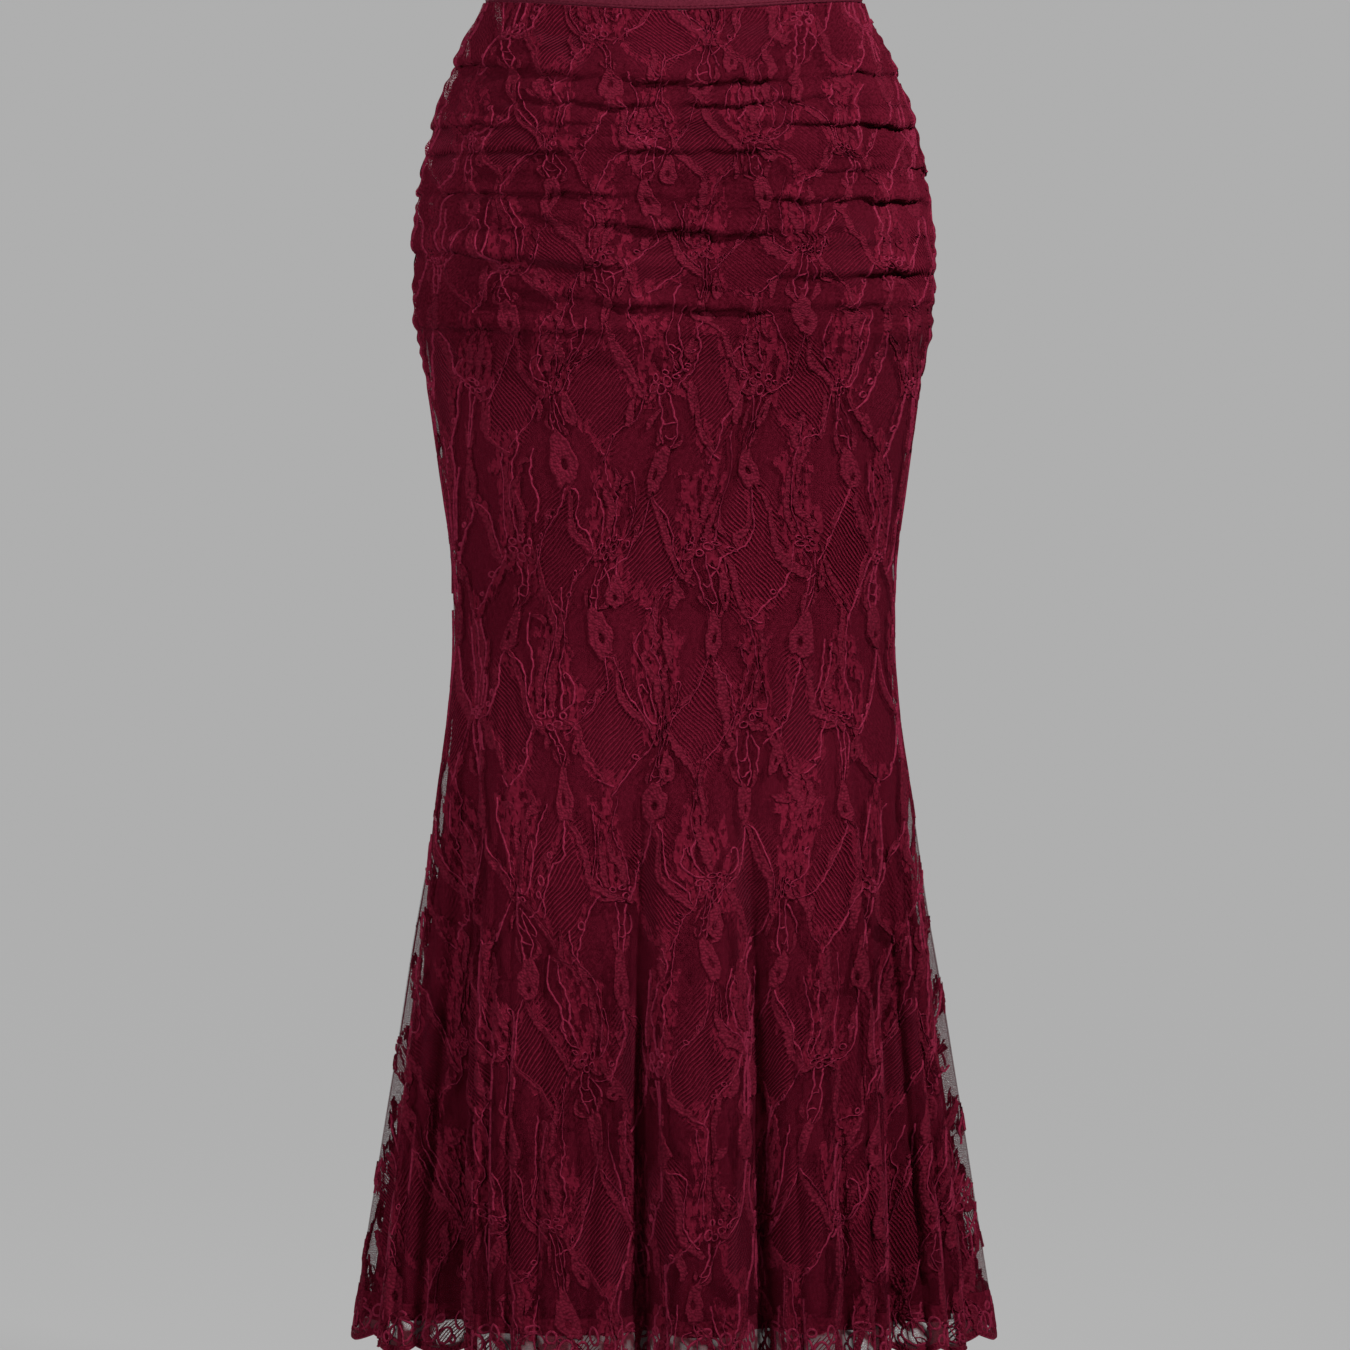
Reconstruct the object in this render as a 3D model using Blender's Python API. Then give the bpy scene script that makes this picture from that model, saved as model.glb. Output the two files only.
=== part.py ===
"""A mermaid skirt in stretch lace over a plain lining, hanging in its worn, hollow form.

The waist is the origin, in the middle of the waistband's height. The skirt hangs down along -Z, its front faces -Y.
All sizes are in metres.
"""
import math

import bpy
import numpy as np

# Driving sizes
BAND_TOP = 0.0125
BAND_FOOT = -0.0125
BAND_INNER = -0.0018
BAND_OUTER = 0.0012
SEAM_GAP = 0.0003
LACE_WALL = 0.0012
LACE_CLEAR = 0.0004
LINING_WALL = 0.0015
LINING_HEM = -0.8780
EDGING_TOP = -0.8660
HEM = -0.8990
SQUARENESS = 2.15
FRONT_DIP = 0.0085
DIP_REACH = 0.11

# The smooth form under the folds, a row for each level: its height, half its width at the side seams, how far it
# reaches in front of them and behind them, and how far inside the lace the lining hangs.
LEVEL_COLUMNS = ("z", "half_width", "front", "back", "inset")
LEVELS = (
    (0.0125, 0.1195, 0.0880, 0.0850, 0.0010),
    (-0.0125, 0.1237, 0.0915, 0.0885, 0.0010),
    (-0.0480, 0.1385, 0.1005, 0.1000, 0.0013),
    (-0.0880, 0.1535, 0.1070, 0.1115, 0.0015),
    (-0.1280, 0.1625, 0.1110, 0.1230, 0.0015),
    (-0.1750, 0.1677, 0.1125, 0.1310, 0.0015),
    (-0.2150, 0.1668, 0.1120, 0.1310, 0.0015),
    (-0.2620, 0.1618, 0.1095, 0.1250, 0.0015),
    (-0.3280, 0.1528, 0.1035, 0.1105, 0.0015),
    (-0.3880, 0.1460, 0.0975, 0.1000, 0.0015),
    (-0.4350, 0.1451, 0.0950, 0.0970, 0.0015),
    (-0.4820, 0.1485, 0.0970, 0.1000, 0.0018),
    (-0.5300, 0.1551, 0.1020, 0.1070, 0.0035),
    (-0.5900, 0.1652, 0.1105, 0.1180, 0.0070),
    (-0.6700, 0.1784, 0.1225, 0.1340, 0.0085),
    (-0.7500, 0.1914, 0.1335, 0.1490, 0.0085),
    (-0.8300, 0.2040, 0.1430, 0.1620, 0.0085),
    (-0.8990, 0.2144, 0.1500, 0.1715, 0.0085),
)

# The flare's hanging folds: where each valley starts and where it meets the hem, as a share of the way from the
# middle to a side seam, its width in the same share, its depth at the hem, and the height where it starts.
FOLD_COLUMNS = ("top_at", "hem_at", "width", "depth", "top_z")
FRONT_FOLDS = (
    (-0.96, -0.86, 0.050, 0.011, -0.560),
    (-0.83, -0.62, 0.075, 0.024, -0.400),
    (-0.26, -0.24, 0.045, 0.007, -0.600),
    (-0.14, -0.085, 0.070, 0.024, -0.460),
    (0.31, 0.265, 0.066, 0.024, -0.460),
    (0.54, 0.465, 0.040, 0.010, -0.600),
    (0.76, 0.630, 0.058, 0.019, -0.490),
    (0.95, 0.850, 0.050, 0.012, -0.560),
)
BACK_FOLDS = (
    (-0.92, -0.80, 0.060, 0.012, -0.560),
    (-0.70, -0.57, 0.065, 0.019, -0.470),
    (-0.40, -0.33, 0.060, 0.018, -0.500),
    (-0.10, -0.09, 0.072, 0.024, -0.440),
    (0.20, 0.14, 0.050, 0.010, -0.600),
    (0.45, 0.36, 0.070, 0.022, -0.460),
    (0.74, 0.63, 0.060, 0.018, -0.500),
    (0.95, 0.84, 0.055, 0.011, -0.560),
)

# How gently a valley deepens from its start: 1 at once, 2 late
FOLD_DEEPENING = 1.3

# The ruching's creases, top to bottom: the height of each crease on the left of the panel, in its middle and on its
# right, and how deep it is pressed there, from 0, not at all, to 1. Left and right lie at the share CREASE_PLACES of
# the way to the seams, and the curve through the three ends at CREASE_REACH times that.
CREASE_COLUMNS = ("left", "middle", "right", "left_press", "middle_press", "right_press")
CREASE_PLACES = 0.58
CREASE_REACH = 1.2
FRONT_CREASES = (
    (-0.0290, -0.0360, -0.0430, 0.8, 0.8, 0.5),
    (-0.0580, -0.0645, -0.0620, 1.0, 1.0, 0.7),
    (-0.0770, -0.0810, -0.0755, 0.6, 0.6, 0.6),
    (-0.0950, -0.0940, -0.0945, 0.8, 1.0, 0.9),
    (-0.1130, -0.1130, -0.1130, 0.5, 0.5, 1.0),
    (-0.1270, -0.1290, -0.1240, 1.0, 0.6, 0.6),
    (-0.1390, -0.1425, -0.1440, 0.5, 1.0, 0.9),
    (-0.1520, -0.1640, -0.1655, 1.0, 1.0, 0.8),
    (-0.1820, -0.1925, -0.1930, 1.0, 0.7, 0.8),
    (-0.2015, -0.2140, -0.2135, 0.8, 0.7, 0.8),
    (-0.2290, -0.2320, -0.2350, 1.0, 0.9, 0.6),
)
BACK_CREASES = (
    (-0.0330, -0.0370, -0.0300, 0.7, 0.8, 0.8),
    (-0.0560, -0.0610, -0.0570, 1.0, 0.8, 1.0),
    (-0.0770, -0.0830, -0.0740, 0.6, 1.0, 0.6),
    (-0.0960, -0.1010, -0.0950, 1.0, 0.6, 0.9),
    (-0.1120, -0.1200, -0.1150, 0.6, 1.0, 0.7),
    (-0.1310, -0.1370, -0.1300, 0.9, 0.7, 1.0),
    (-0.1500, -0.1580, -0.1480, 0.7, 1.0, 0.6),
    (-0.1690, -0.1760, -0.1700, 1.0, 0.6, 0.9),
    (-0.1880, -0.1960, -0.1900, 0.7, 0.9, 0.8),
    (-0.2100, -0.2160, -0.2080, 0.8, 0.7, 0.8),
    (-0.2310, -0.2370, -0.2300, 0.9, 0.8, 0.9),
)
BAND_PRESS = 0.8
LEAST_PRESS = 0.2

# A puff between two creases: how far it stands off, its share of that at the band and at the seams, how quickly it
# reaches its full size below the band, how sharply it falls off towards the seams, where the ruching fades out, and
# the shares of its height that the crease above it and the crease below it take.
PUFF = 0.0046
PUFF_AT_BAND = 0.25
PUFF_AT_SEAM = 0.40
PUFF_GROWS_OVER = 0.03
PUFF_SEAM_POWER = 8
PUFF_FADE = (-0.222, -0.262)
CREASE_BELOW = 0.30
CREASE_ABOVE = 0.17

# How finely each zone is divided
RUCHED_SHARES = (0.0, 0.3, 0.72)
UPPER_COLUMNS = 20
FITTED_LEVELS = (-0.290, -0.335, -0.385, -0.430)
FLARE_COLUMNS = 48
FLARE_LEVELS = (-0.470, -0.515, -0.560, -0.610, -0.660, -0.715, -0.770, -0.820, EDGING_TOP + SEAM_GAP)
LINING_UPPER_LEVELS = (-0.045, -0.080, -0.115, -0.150, -0.185, -0.220, -0.262, -0.310, -0.365, -0.420)
LINING_FLARE_COLUMNS = 34
LINING_FLARE_LEVELS = (-0.470, -0.520, -0.575, -0.640, -0.715, -0.795, LINING_HEM)
BAND_COLUMNS = 22
SCALLOPS = 20
SCALLOP_DEPTH = 0.0055
SCALLOP_COLUMNS = 4
EDGING_LEVELS = (EDGING_TOP, -0.882)

FRONT, BACK = -1, 1


def named_rows(columns, rows):
    return [dict(zip(columns, row)) for row in rows]


FOLDS = {FRONT: named_rows(FOLD_COLUMNS, FRONT_FOLDS), BACK: named_rows(FOLD_COLUMNS, BACK_FOLDS)}
CREASES = {FRONT: named_rows(CREASE_COLUMNS, FRONT_CREASES), BACK: named_rows(CREASE_COLUMNS, BACK_CREASES)}


def curve_through(heights, values):
    """A smooth curve through a table's rows, read from the lowest up, that never swings past them."""
    x = np.array(heights[::-1], dtype=float)
    y = np.array(values[::-1], dtype=float)
    step = np.diff(x)
    slope = np.diff(y) / step
    bend = np.zeros(len(x))
    product = slope[1:] * slope[:-1]
    total = slope[1:] + slope[:-1]
    bend[1:-1] = np.where(product > 0, 2 * product / np.where(total == 0, 1, total), 0)
    bend[0], bend[-1] = slope[0], slope[-1]

    def value(at):
        at = np.clip(at, x[0], x[-1])
        i = np.clip(np.searchsorted(x, at) - 1, 0, len(step) - 1)
        t = (at - x[i]) / step[i]
        ends = y[i] * (1 + 2 * t) * (1 - t) ** 2 + y[i + 1] * t * t * (3 - 2 * t)
        return ends + step[i] * (bend[i] * t * (1 - t) ** 2 - bend[i + 1] * t * t * (1 - t))

    return value


LEVEL = {
    name: curve_through([row[0] for row in LEVELS], [row[i] for row in LEVELS])
    for i, name in enumerate(LEVEL_COLUMNS)
}


def ease(t):
    """From 0 to 1 with soft ends."""
    t = np.clip(t, 0, 1)
    return t * t * (3 - 2 * t)


def plain_ring(side, around, z):
    """The smooth form's point at a height: around is -1 at the left seam, 0 in the middle and 1 at the right seam."""
    half = LEVEL["half_width"](z)
    depth = LEVEL["front" if side == FRONT else "back"](z)
    angle = around * (math.pi / 2 - SEAM_GAP / 2 / half)
    across = np.abs(np.sin(angle) / half) ** SQUARENESS
    along = np.abs(np.cos(angle) / depth) ** SQUARENESS
    reach = (across + along) ** (-1 / SQUARENESS)
    return np.stack((reach * np.sin(angle), side * reach * np.cos(angle)), axis=-1)


def outward(side, ring, around, z):
    """The level direction away from the body at a point of a ring, straight sideways at the seams."""
    step = 1e-4
    along = ring(side, around + step, z) - ring(side, around - step, z)
    along /= np.linalg.norm(along, axis=-1, keepdims=True)
    normal = side * np.stack((-along[..., 1], along[..., 0]), axis=-1)
    sideways = np.stack((np.sign(around), np.zeros_like(around)), axis=-1)
    return np.where((np.abs(around) > 1 - 1e-9)[..., None], sideways, normal)


def flare_fold(side, around, z):
    """How far the flare's valleys draw the cloth in at a point."""
    drawn = np.zeros_like(around)
    for fold in FOLDS[side]:
        share = np.clip((fold["top_z"] - z) / (fold["top_z"] - HEM), 0, 1)
        middle = fold["top_at"] + (fold["hem_at"] - fold["top_at"]) * share
        deepening = np.sin(share * math.pi / 2) ** FOLD_DEEPENING
        drawn -= fold["depth"] * deepening * np.exp(-(((around - middle) / fold["width"]) ** 2))
    return drawn


def form(side, around, z):
    """The smooth form with the flare's folds."""
    drawn = flare_fold(side, around, z)
    return plain_ring(side, around, z) + outward(side, plain_ring, around, z) * drawn[..., None]


def surface(side, around, z, offset):
    """Points on the form, moved out by an offset, with the waist's dip in front."""
    around, z, offset = np.broadcast_arrays(np.asarray(around, float), z, offset)
    level = form(side, around, z) + outward(side, form, around, z) * offset[..., None]
    dip = 0.0
    if side == FRONT:
        dip = FRONT_DIP * np.cos(around * math.pi / 2) ** 2 * ease(1 + (z - BAND_FOOT) / DIP_REACH)
    return np.column_stack((level, z - dip))


def across_panel(left, middle, right, around):
    """A value given on the left, in the middle and on the right, on one smooth curve over the panel."""
    t = np.clip(around / CREASE_PLACES, -CREASE_REACH, CREASE_REACH)
    return left * t * (t - 1) / 2 + middle * (1 - t * t) + right * t * (t + 1) / 2


def ruched_lines(side, around):
    """The heights of the ruching's lines over a panel, from the waistband's foot to where it ends, and their press."""
    heights = [np.full_like(around, BAND_FOOT - SEAM_GAP)]
    presses = [np.full_like(around, BAND_PRESS)]
    for crease in CREASES[side]:
        heights.append(across_panel(crease["left"], crease["middle"], crease["right"], around))
        press = across_panel(crease["left_press"], crease["middle_press"], crease["right_press"], around)
        presses.append(np.clip(press, LEAST_PRESS, 1))
    heights.append(np.full_like(around, PUFF_FADE[1]))
    presses.append(np.ones_like(around))
    return heights, presses


def puff(around, z, share, press_above, press_below):
    """How far a puff of ruching stands off the form, a share of the way down between two creases."""
    stand = PUFF_AT_BAND + (1 - PUFF_AT_BAND) * ease((BAND_FOOT - z) / PUFF_GROWS_OVER)
    stand *= 1 - ease((PUFF_FADE[0] - z) / (PUFF_FADE[0] - PUFF_FADE[1]))
    stand *= 1 - (1 - PUFF_AT_SEAM) * np.abs(around) ** PUFF_SEAM_POWER
    drawn = press_above * np.exp(-((share / CREASE_BELOW) ** 2))
    drawn += press_below * np.exp(-(((1 - share) / CREASE_ABOVE) ** 2))
    return PUFF * stand * (1 - np.clip(drawn, 0, 1))


def even_columns(count):
    return np.linspace(-1, 1, count + 1)


def spaced_columns(side, z, count):
    """Columns at equal distances along the folded ring of a height."""
    fine = np.linspace(-1, 1, 1201)
    ring = form(side, fine, np.full_like(fine, z))
    run = np.concatenate(([0], np.cumsum(np.linalg.norm(np.diff(ring, axis=0), axis=1))))
    columns = np.interp(np.linspace(0, run[-1], count + 1), run, fine)
    columns[0], columns[-1] = -1, 1
    return columns


def strip(row_a, row_b, around_a, around_b):
    """The triangles between two rows of points, also where the rows have different counts.

    The wall's two sides are cut along the same diagonals, so that they stay parallel where a fold twists them.
    """
    faces = []
    i, j = 0, 0
    while i < len(row_a) - 1 or j < len(row_b) - 1:
        if len(row_a) == len(row_b):
            faces.append((row_a[i], row_b[j], row_b[j + 1]))
            faces.append((row_a[i], row_b[j + 1], row_a[i + 1]))
            i, j = i + 1, j + 1
        elif j == len(row_b) - 1 or (i < len(row_a) - 1 and around_a[i + 1] <= around_b[j + 1]):
            faces.append((row_a[i], row_b[j], row_a[i + 1]))
            i += 1
        else:
            faces.append((row_a[i], row_b[j], row_b[j + 1]))
            j += 1
    return faces


def finish_object(name, points, faces, colour, roughness):
    """One named object with its own material, shaded smooth."""
    mesh = bpy.data.meshes.new(name)
    mesh.from_pydata([tuple(point) for point in points], [], faces)
    mesh.validate()
    material = bpy.data.materials.new(name)
    material.use_nodes = True
    shader = material.node_tree.nodes["Principled BSDF"]
    shader.inputs["Base Color"].default_value = (*colour, 1)
    shader.inputs["Roughness"].default_value = roughness
    shader.inputs["Metallic"].default_value = 0.0
    mesh.materials.append(material)
    mesh.shade_smooth()
    mesh.set_sharp_from_angle(angle=math.radians(50))
    obj = bpy.data.objects.new(name, mesh)
    bpy.context.scene.collection.objects.link(obj)
    print(name, len(mesh.vertices), "points", sum(len(p.vertices) - 2 for p in mesh.polygons), "triangles")
    return obj


def panel(name, side, rows, colour, roughness):
    """A closed wall of cloth from its rows: each row has its columns, its outer points and its inner points."""
    points, outer, inner = [], [], []
    for around, outside, inside in rows:
        outer.append(range(len(points), len(points) + len(around)))
        points.extend(outside)
        inner.append(range(len(points), len(points) + len(around)))
        points.extend(inside)
    faces = []
    for k in range(len(rows) - 1):
        columns_a, columns_b = rows[k][0], rows[k + 1][0]
        faces += strip(outer[k], outer[k + 1], columns_a, columns_b)
        faces += [face[::-1] for face in strip(inner[k], inner[k + 1], columns_a, columns_b)]
        faces.append((outer[k][0], inner[k][0], inner[k + 1][0], outer[k + 1][0]))
        faces.append((outer[k][-1], outer[k + 1][-1], inner[k + 1][-1], inner[k][-1]))
    for c in range(len(rows[0][0]) - 1):
        faces.append((outer[0][c], outer[0][c + 1], inner[0][c + 1], inner[0][c]))
    for c in range(len(rows[-1][0]) - 1):
        faces.append((outer[-1][c], inner[-1][c], inner[-1][c + 1], outer[-1][c + 1]))
    if side == BACK:
        faces = [face[::-1] for face in faces]
    return finish_object(name, points, faces, colour, roughness)


def lace_row(side, around, z, stand=0.0):
    inside = surface(side, around, z, LACE_CLEAR + stand)
    outside = surface(side, around, z, LACE_CLEAR + stand + LACE_WALL)
    return around, outside, inside


def lace_panel(name, side):
    """The lace: ruched over the hips, close over the thighs, and flared in hanging folds below the knee."""
    around = even_columns(UPPER_COLUMNS)
    heights, presses = ruched_lines(side, around)
    rows = []
    for k in range(len(heights) - 1):
        for share in RUCHED_SHARES:
            z = heights[k] + share * (heights[k + 1] - heights[k])
            rows.append(lace_row(side, around, z, puff(around, z, share, presses[k], presses[k + 1])))
    for z in (PUFF_FADE[1],) + FITTED_LEVELS:
        rows.append(lace_row(side, around, np.full_like(around, z)))
    for z in FLARE_LEVELS:
        around = spaced_columns(side, z, FLARE_COLUMNS)
        rows.append(lace_row(side, around, np.full_like(around, z)))
    return panel(name, side, rows, LACE_COLOUR, 0.72)


def lining_panel(name, side):
    """The plain lining that hangs inside the lace."""
    rows = []
    for z in (BAND_FOOT - SEAM_GAP,) + LINING_UPPER_LEVELS + LINING_FLARE_LEVELS:
        if z > LINING_FLARE_LEVELS[0]:
            around = even_columns(UPPER_COLUMNS)
        else:
            around = spaced_columns(side, z, LINING_FLARE_COLUMNS)
        level = np.full_like(around, z)
        inset = LEVEL["inset"](level)
        outside = surface(side, around, level, -inset)
        inside = surface(side, around, level, -inset - LINING_WALL)
        rows.append((around, outside, inside))
    return panel(name, side, rows, LINING_COLOUR, 0.6)


def edging(name, side):
    """The lace's scalloped border, which hangs free below the lining."""
    around = spaced_columns(side, HEM, SCALLOPS * SCALLOP_COLUMNS)
    lobe = np.abs(np.sin(math.pi * np.arange(len(around)) / SCALLOP_COLUMNS))
    rows = [lace_row(side, around, np.full_like(around, z)) for z in EDGING_LEVELS]
    rows.append(lace_row(side, around, HEM + SCALLOP_DEPTH * (1 - lobe)))
    return panel(name, side, rows, LACE_COLOUR, 0.72)


def waistband(name):
    """The plain stretch waistband, one closed ring that takes in both layers."""
    around = even_columns(BAND_COLUMNS)
    loop = [(FRONT, a) for a in around] + [(BACK, a) for a in around[-2:0:-1]]
    rings = []
    for z, offset in (
        (BAND_TOP, BAND_OUTER), (BAND_FOOT, BAND_OUTER), (BAND_FOOT, BAND_INNER), (BAND_TOP, BAND_INNER)
    ):
        rings.append([surface(side, np.array([a]), z, offset)[0] for side, a in loop])
    count = len(loop)
    points = [point for ring in rings for point in ring]
    faces = []
    for k in range(len(rings)):
        for c in range(count):
            a, b = k * count + c, k * count + (c + 1) % count
            below = (k + 1) % len(rings) * count
            faces.append((a, below + c, below + (c + 1) % count, b))
    return finish_object(name, points, faces, BAND_COLOUR, 0.55)


LACE_COLOUR = (0.085, 0.006, 0.016)
LINING_COLOUR = (0.060, 0.004, 0.011)
BAND_COLOUR = (0.120, 0.012, 0.026)

for old in list(bpy.data.objects):
    bpy.data.objects.remove(old, do_unlink=True)

waistband("waistband")
lining_panel("lining_front", FRONT)
lining_panel("lining_back", BACK)
lace_panel("lace_front", FRONT)
lace_panel("lace_back", BACK)
edging("hem_edge_front", FRONT)
edging("hem_edge_back", BACK)
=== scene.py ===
# %% [markdown]
# # A mermaid skirt in stretch lace
#
# The solid model gives a long skirt in its worn, hollow form: a waistband, a lace layer in two panels with a
# scalloped border, and a plain lining. This lesson dresses it. The lace becomes a fine net with raised
# flowers, the ruching gets its creases, and every layer gets a cloth finish. First the model is loaded as a
# fixed frame.

# %% Load the frame
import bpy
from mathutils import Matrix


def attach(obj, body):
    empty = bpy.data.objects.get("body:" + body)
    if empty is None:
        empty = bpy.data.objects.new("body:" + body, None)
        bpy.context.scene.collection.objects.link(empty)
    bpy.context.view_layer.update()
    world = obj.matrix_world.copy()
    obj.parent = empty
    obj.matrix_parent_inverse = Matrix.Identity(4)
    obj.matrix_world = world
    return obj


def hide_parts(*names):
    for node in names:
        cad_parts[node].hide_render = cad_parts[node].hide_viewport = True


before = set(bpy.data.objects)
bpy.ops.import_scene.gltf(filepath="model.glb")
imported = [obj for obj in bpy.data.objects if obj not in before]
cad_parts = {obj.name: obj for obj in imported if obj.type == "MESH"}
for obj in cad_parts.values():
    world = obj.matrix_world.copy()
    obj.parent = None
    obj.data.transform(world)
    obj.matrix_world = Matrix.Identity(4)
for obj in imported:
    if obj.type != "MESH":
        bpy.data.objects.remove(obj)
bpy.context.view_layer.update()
print("solids:", ", ".join(sorted(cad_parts)))

# %% [markdown]
# ## Camera
#
# The skirt is seen straight from the front and from a little above, through a long lens, so that it is
# hardly distorted. The lens is worked out from how much of the skirt's plane the picture spans.

# %% Camera
import math

import bpy
import numpy as np
from mathutils import Vector

SEEN_WIDTH = 0.898
CAMERA_DISTANCE = 4.0
CAMERA_ELEVATION = math.radians(3.5)
LOOKED_AT = Vector((0.0007, 0.0, -0.457))

camera_data = bpy.data.cameras.new("camera")
camera_data.lens = camera_data.sensor_width * CAMERA_DISTANCE / SEEN_WIDTH
camera = bpy.data.objects.new("camera", camera_data)
bpy.context.scene.collection.objects.link(camera)
towards_camera = Vector((0, -math.cos(CAMERA_ELEVATION), math.sin(CAMERA_ELEVATION)))
camera.location = LOOKED_AT + CAMERA_DISTANCE * towards_camera
camera.rotation_euler = (math.pi / 2 - CAMERA_ELEVATION, 0, 0)
bpy.context.scene.camera = camera
print("lens %.1f mm" % camera_data.lens)

# %% [markdown]
# ## The skirt's form
#
# Every layer follows one form, so it is written once, from the same sizes as the solids. A table gives the
# smooth body of the skirt at a few heights, and smooth curves run through its rows. A second table gives the
# hanging folds of the flare. A point is named by its side, by how far round it lies from the middle of the
# panel, at 0, to a side seam, at -1 or 1, and by its height.

# %% Sizes of the form
FRONT, BACK = -1, 1
TITLES = {FRONT: "front", BACK: "back"}
BAND_TOP, BAND_FOOT = 0.0125, -0.0125
BAND_INNER, BAND_OUTER = -0.0018, 0.0012
SEAM_GAP = 0.0003
LACE_CLEAR = 0.0004
LINING_HEM, EDGING_TOP, HEM = -0.8780, -0.8660, -0.8990
SCALLOPS, SCALLOP_DEPTH = 20, 0.0055
SQUARENESS = 2.15
FRONT_DIP, DIP_REACH = 0.0085, 0.11

LEVEL_COLUMNS = ("z", "half_width", "front", "back", "inset")
LEVELS = (
    (0.0125, 0.1195, 0.0880, 0.0850, 0.0010),
    (-0.0125, 0.1237, 0.0915, 0.0885, 0.0010),
    (-0.0480, 0.1385, 0.1005, 0.1000, 0.0013),
    (-0.0880, 0.1535, 0.1070, 0.1115, 0.0015),
    (-0.1280, 0.1625, 0.1110, 0.1230, 0.0015),
    (-0.1750, 0.1677, 0.1125, 0.1310, 0.0015),
    (-0.2150, 0.1668, 0.1120, 0.1310, 0.0015),
    (-0.2620, 0.1618, 0.1095, 0.1250, 0.0015),
    (-0.3280, 0.1528, 0.1035, 0.1105, 0.0015),
    (-0.3880, 0.1460, 0.0975, 0.1000, 0.0015),
    (-0.4350, 0.1451, 0.0950, 0.0970, 0.0015),
    (-0.4820, 0.1485, 0.0970, 0.1000, 0.0018),
    (-0.5300, 0.1551, 0.1020, 0.1070, 0.0035),
    (-0.5900, 0.1652, 0.1105, 0.1180, 0.0070),
    (-0.6700, 0.1784, 0.1225, 0.1340, 0.0085),
    (-0.7500, 0.1914, 0.1335, 0.1490, 0.0085),
    (-0.8300, 0.2040, 0.1430, 0.1620, 0.0085),
    (-0.8990, 0.2144, 0.1500, 0.1715, 0.0085),
)
FOLD_COLUMNS = ("top_at", "hem_at", "width", "depth", "top_z")
FRONT_FOLDS = (
    (-0.96, -0.86, 0.050, 0.011, -0.560),
    (-0.83, -0.62, 0.075, 0.024, -0.400),
    (-0.26, -0.24, 0.045, 0.007, -0.600),
    (-0.14, -0.085, 0.070, 0.024, -0.460),
    (0.31, 0.265, 0.066, 0.024, -0.460),
    (0.54, 0.465, 0.040, 0.010, -0.600),
    (0.76, 0.630, 0.058, 0.019, -0.490),
    (0.95, 0.850, 0.050, 0.012, -0.560),
)
BACK_FOLDS = (
    (-0.92, -0.80, 0.060, 0.012, -0.560),
    (-0.70, -0.57, 0.065, 0.019, -0.470),
    (-0.40, -0.33, 0.060, 0.018, -0.500),
    (-0.10, -0.09, 0.072, 0.024, -0.440),
    (0.20, 0.14, 0.050, 0.010, -0.600),
    (0.45, 0.36, 0.070, 0.022, -0.460),
    (0.74, 0.63, 0.060, 0.018, -0.500),
    (0.95, 0.84, 0.055, 0.011, -0.560),
)
FOLD_DEEPENING = 1.3
CREST_SHARE, CREST_DEPTH = 0.92, 0.60
CREST_LEFT, CREST_RIGHT = 0.80, 0.46


def named_rows(columns, rows):
    """A table's rows, with a name for each value."""
    return [dict(zip(columns, row)) for row in rows]


def both_sides(columns, front, back):
    return {FRONT: named_rows(columns, front), BACK: named_rows(columns, back)}


FOLDS = both_sides(FOLD_COLUMNS, FRONT_FOLDS, BACK_FOLDS)
print(len(LEVELS), "levels,", len(FRONT_FOLDS) + len(BACK_FOLDS), "hanging folds")

# %% Form functions
NEARLY_SEAM, SMALL_STEP, HIPS_AT = 1 - 1e-9, 1e-4, -0.19


def curve_through(heights, values):
    """A smooth curve through a table's rows, read from the lowest up, that never swings past them."""
    x = np.array(heights[::-1], dtype=float)
    y = np.array(values[::-1], dtype=float)
    step = np.diff(x)
    slope = np.diff(y) / step
    bend = np.zeros(len(x))
    product = slope[1:] * slope[:-1]
    total = slope[1:] + slope[:-1]
    bend[1:-1] = np.where(product > 0, 2 * product / np.where(total == 0, 1, total), 0)
    bend[0], bend[-1] = slope[0], slope[-1]

    def value(at):
        at = np.clip(at, x[0], x[-1])
        i = np.clip(np.searchsorted(x, at) - 1, 0, len(step) - 1)
        t = (at - x[i]) / step[i]
        ends = y[i] * (1 + 2 * t) * (1 - t) ** 2 + y[i + 1] * t * t * (3 - 2 * t)
        return ends + step[i] * (bend[i] * t * (1 - t) ** 2 - bend[i + 1] * t * t * (1 - t))

    return value


LEVEL = {
    name: curve_through([row[0] for row in LEVELS], [row[i] for row in LEVELS])
    for i, name in enumerate(LEVEL_COLUMNS)
}


def ease(t):
    """From 0 to 1 with soft ends."""
    t = np.clip(t, 0, 1)
    return t * t * (3 - 2 * t)


def plain_ring(side, around, z):
    """A point of the smooth body: a rounded box, a little squarer than an ellipse."""
    half = LEVEL["half_width"](z)
    depth = LEVEL["front" if side == FRONT else "back"](z)
    angle = around * (math.pi / 2 - SEAM_GAP / 2 / half)
    across = np.abs(np.sin(angle) / half) ** SQUARENESS
    along = np.abs(np.cos(angle) / depth) ** SQUARENESS
    reach = (across + along) ** (-1 / SQUARENESS)
    return np.stack((reach * np.sin(angle), side * reach * np.cos(angle)), axis=-1)


def outward(side, ring, around, z):
    """The level direction away from the body at a point of a ring, straight sideways at the seams."""
    along = ring(side, around + SMALL_STEP, z) - ring(side, around - SMALL_STEP, z)
    along /= np.linalg.norm(along, axis=-1, keepdims=True)
    normal = side * np.stack((-along[..., 1], along[..., 0]), axis=-1)
    sideways = np.stack((np.sign(around), np.zeros_like(around)), axis=-1)
    return np.where((np.abs(around) > NEARLY_SEAM)[..., None], sideways, normal)


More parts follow.
